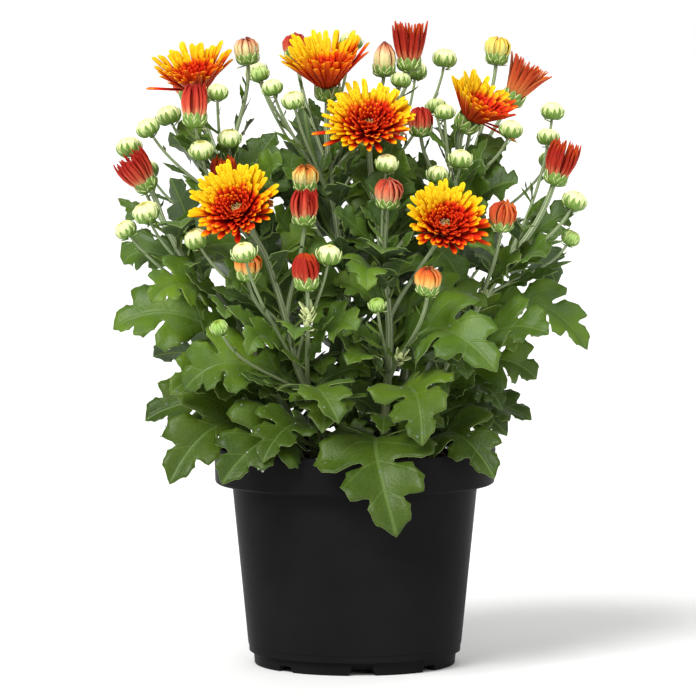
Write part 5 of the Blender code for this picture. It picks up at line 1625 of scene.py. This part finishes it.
def addStalkLeaf(pile, start, along, long, cut, wide, rng):
    way = levelWay(rng.uniform(0, 2 * math.pi))
    bend = start + (way * 0.42 + along * 0.36) * long * mm
    tip = start + (way * 0.66 + along * 0.72) * long * mm
    addLeaf(pile, (start, bend, tip, wide, rng.uniform(-20, 20), cut), start, rng.uniform(0.10, 0.55), rng)


def growShoot(shoot, rng):
    stalks, foliage, buds = newPile(), newPile(), newPile()
    main = stemPath(shoot, stemLook["seenStemSteps"], stemLook["seenLeadSteps"])
    addStem(stalks, main, "main")
    stalkLeaves = []
    for row in heads:
        if row[2] != shoot:
            continue
        if row[3]:
            stalk = twigPath(main, row, stemLook["seenTwigSteps"])
            ways = [(after - before).normalized() for before, after in zip(stalk, stalk[2:])]
            addStem(stalks, stalk, "budStalk" if row[1] == "bud" else "stalk")
            for k, short, long, cut, wide in extraLeaves["stalkLeaves"]:
                stalkLeaves.append((stalk[k], ways[k - 1], rng.uniform(short, long), cut, wide))
        if row[1] == "bud":
            addGreenBud(buds, row, rng)
        else:
            addCup(buds, row, rng)
        for k in sideShoots.get(row[0], ()):
            addSideShoot(buds, stalk[k], ways[k - 1], rng)
    high = [setLeaf(shoot, main, *row, True) for owner, *row in betweenStalks if owner == shoot]
    for spec in filter(None, leafSpecs[shoot] + high + leavesUp(shoot, main, extraLeaves, rng)):
        height = spec[0].z / mm
        base, _ = pointAtHeight(main, height)
        if (base - spec[0]).length > 3 * mm:
            base = spec[0]
        low = 1.0 - clamp((height - 110.0) / 90.0)
        wet = spec[0].z < leafLook["dropsBelow"] and spec[5] != "bract"
        drops = rng.choice(leafLook["drops"]) if wet else 0
        addLeaf(foliage, spec, base, 0.10 + 0.38 * rng.random() + 0.30 * low, rng, drops)
    for start, along, long, cut, wide in stalkLeaves:
        addStalkLeaf(foliage, start, along, long, cut, wide, rng)
    for name, pile, paints in (("stems_", stalks, ["stem"]), ("leaves_", foliage, ["leaf", "drop"]),
                               ("cups_and_buds_", buds, ["bract", "pale"])):
        makePiece(name + shoot, pile, paints, "leaf_and_stem", ["shoot_" + shoot])


room["leaf"] = extraLeaves["room"]
room["ownShare"] = extraLeaves["ownShare"]
looksRng = random.Random(seed + 7)
for shoot in stems:
    growShoot(shoot, looksRng)
print("shoots grown")
for row in heads:
    if row[1] == "bloom":
        addBloom(row, looksRng)
    elif row[1] != "bud":
        addHead(row, looksRng)
print("blooms and heads grown")


# The pot: one turned wall with stepped notches cut through its foot
def makePot():
    look = potLook
    top, rim, seam = look["height"], look["rimRadius"], look["footHeight"]
    body, base, foot = look["bodyTopRadius"], look["bodyFootRadius"], look["footRadius"]
    under = top - look["rimHeight"]
    lip = rim - look["wall"]
    inner = base - 2 * look["wall"]
    lift = look["baseLift"]
    floor = lift + look["baseThickness"]
    profile = [
        (0.0, floor), (inner - 1.2, floor), (inner, floor + 1.0), (body - look["wall"], under - 1.4),
        (lip - 0.9, under + 1.6), (lip - 0.2, top - 3.2), (lip, top - 0.5), (lip + 0.4, top),
        (rim - 0.6, top), (rim - 0.15, top - 0.3), (rim, top - 0.9), (rim - 0.1, top - 3.6),
        (rim - 0.55, under + 1.5), (rim - 0.9, under + 0.6), (rim - 1.8, under), (body + 0.7, under - 0.1),
        (body + 0.1, under - 0.8), (body - 0.15, under - 2.0), (base + 0.45, 10.6), (base + 0.30, 9.9),
        (base + 0.05, 9.7), (base - 0.1, seam), (foot + 0.25, seam - 0.5), (foot, seam - 1.2),
        (foot - 0.5, 0.4), (foot - 0.8, 0.0), (foot - 3.4, 0.0), (foot - 3.6, 0.2), (foot - 3.8, lift),
        (0.0, lift)]
    mesh = bpy.data.meshes.new("potWall")
    mesh.from_pydata([(radius * mm, 0.0, high * mm) for radius, high in profile],
                     [(i, i + 1) for i in range(len(profile) - 1)], [])
    wall = newObject("potWall", mesh)
    screw = wall.modifiers.new("turn", "SCREW")
    screw.steps = look["sides"]
    screw.render_steps = look["sides"]
    screw.use_merge_vertices = True
    screw.merge_threshold = 1e-6
    cutters = []
    for turn, wide, high in look["notches"]:
        deepStep, broadStep, rise, least = look["notchStep"]
        steps = [(look["notchDepth"], 1.0, high)]
        if high >= least:
            steps.append((deepStep, broadStep, high + rise))
        for deep, broad, tall in steps:
            shift = look["notchStepShift"] if tall > high else 0.0
            block = bmesh.new()
            bmesh.ops.create_cube(block, size=1.0)
            for corner in block.verts:
                share = look["notchTopShare"] if corner.co.z > 0 else look["notchFootShare"]
                corner.co.y = math.copysign(wide * broad * share, corner.co.y) * mm
                corner.co.z = (tall if corner.co.z > 0 else -2.0) * mm
                corner.co.x = (math.copysign(deep / 2, corner.co.x) + shift) * mm
            shape = bpy.data.meshes.new("notchCutter")
            block.to_mesh(shape)
            block.free()
            cutter = newObject("notchCutter", shape)
            cutter.matrix_world = (Matrix.Rotation(math.radians(turn), 4, "Z")
                                   @ Matrix.Translation((foot * mm, 0.0, 0.0)))
            cut = wall.modifiers.new("cut", "BOOLEAN")
            cut.operation = "DIFFERENCE"
            cut.object = cutter
            cut.solver = "EXACT"
            cutters.append(cutter)
    bpy.context.view_layer.update()
    made = bpy.data.meshes.new_from_object(wall.evaluated_get(bpy.context.evaluated_depsgraph_get()))
    made.name = "nurseryPot"
    for old in [wall] + cutters:
        bpy.data.objects.remove(old, do_unlink=True)
    tidyMesh(made, 1e-6)
    made.materials.clear()
    made.materials.append(finishes["pot"])
    dressPiece("nurseryPot", made, ["pot"], 30)


# Peat: a rough low mound with crumbs sunk in it
def makePeat():
    look = soilLook
    rng = random.Random(look["seed"])
    edge = potLook["rimRadius"] - potLook["wall"] - look["gap"] - 1.2
    floor = potLook["height"] - potLook["rimHeight"] + 3.0
    pile = newPile()
    turns = np.linspace(0.0, 2 * math.pi, look["sides"], endpoint=False)

    def surface(x, y):
        far = math.hypot(x, y) / edge
        spot = Vector((x, y, 0.0))
        rough = (2.0 * noise.noise(spot * 0.11) + 1.2 * noise.noise(spot * 0.31)
                 + 0.7 * noise.noise(spot * 0.83))
        return look["top"] + look["mound"] * (1 - far ** 2) - 1.4 * far ** 6 + rough

    rings = [[(far * math.cos(t), far * math.sin(t), floor) for t in turns] for far in (0.2, edge - 0.4)]
    for i in range(look["rings"] + 1):
        far = edge * (1 - i / look["rings"]) + 0.2 * i / look["rings"]
        ring = [(far * math.cos(t), far * math.sin(t)) for t in turns]
        rings.append([(x, y, surface(x, y)) for x, y in ring])
    rings = np.array(rings)
    addRings(pile, rings * mm, np.zeros(rings.shape), 0.5)
    for _ in range(look["crumbs"]):
        far = (edge - 2.5) * math.sqrt(rng.random())
        around = rng.uniform(0, 2 * math.pi)
        size = rng.choice(look["crumbSizes"])
        x, y = far * math.cos(around), far * math.sin(around)
        stand = (Matrix.Translation(Vector((x, y, surface(x, y) + size * 0.15)) * mm)
                 @ Matrix.Rotation(rng.uniform(0, 6.28), 4, Vector((rng.random(), rng.random(), 0.4))))
        profile = [(-size * 0.8, size * 0.3), (-size * 0.3, size * rng.uniform(0.7, 1.0)),
                   (size * 0.3, size * rng.uniform(0.6, 0.95)), (size * 0.7, size * 0.25)]
        addKnob(pile, stand, profile, 6, 0.5, 0)
    makePiece("peatCompost", pile, ["peat"], "peat_soil", ["soil"], 40)


makePot()
makePeat()
print("pot and peat made")

stageLook = {
    "floor": (0.93, 0.93, 0.92),
    "floorReach": 40.0,
    "surround": (1.0, 1.0, 1.0),
    "surroundLight": 0.42,
    # turn and height of each lamp in degrees, its strength, and how soft its edge is
    "lamps": [(-32.0, 46.0, 3.0, 26.0), (36.0, 24.0, 0.8, 70.0), (165.0, 40.0, 0.9, 60.0)],
}


def makeStage():
    look = stageLook
    mesh = bpy.data.meshes.new("paleFloor")
    work = bmesh.new()
    bmesh.ops.create_circle(work, cap_ends=True, segments=64, radius=look["floorReach"])
    work.to_mesh(mesh)
    work.free()
    floor = newObject("paleFloor", mesh)
    made, surface = newFinish("paleFloor", {"Roughness": 0.9, "Specular IOR Level": 0.1})
    grain = makeNoise(placeCoordinates(surface), 3.0, 2.0)
    dim = tuple(value * 0.985 for value in look["floor"])
    feed(surface, {"Base Color": mixColours(grain, look["floor"], dim)})
    mesh.materials.append(made)
    for turn, lift, strength, soft in look["lamps"]:
        data = bpy.data.lights.new("softLamp", "SUN")
        data.energy = strength
        data.angle = math.radians(soft)
        turn = math.radians(turn)
        way = Vector((math.sin(turn), -math.cos(turn), math.tan(math.radians(lift))))
        newObject("softLamp", data).rotation_euler = way.to_track_quat("Z", "Y").to_euler()
    world = bpy.data.worlds.new("paleSurround")
    world.use_nodes = True
    bpy.context.scene.world = world
    tree = world.node_tree
    seen = tree.nodes["Background"]
    seen.inputs["Color"].default_value = (*look["surround"], 1.0)
    seen.inputs["Strength"].default_value = 1.0
    light = addNode("ShaderNodeBackground", {"Color": (*look["surround"], 1.0),
                                             "Strength": look["surroundLight"]}, 0, tree)
    path = addNode("ShaderNodeLightPath", {}, "Is Camera Ray", tree)
    both = addNode("ShaderNodeMixShader", {0: path, 1: light, 2: wire(seen.outputs[0])})
    tree.links.new(both.socket, tree.nodes["World Output"].inputs["Surface"])
    bpy.context.scene.view_settings.view_transform = "Standard"


makeStage()
print("stage lit")
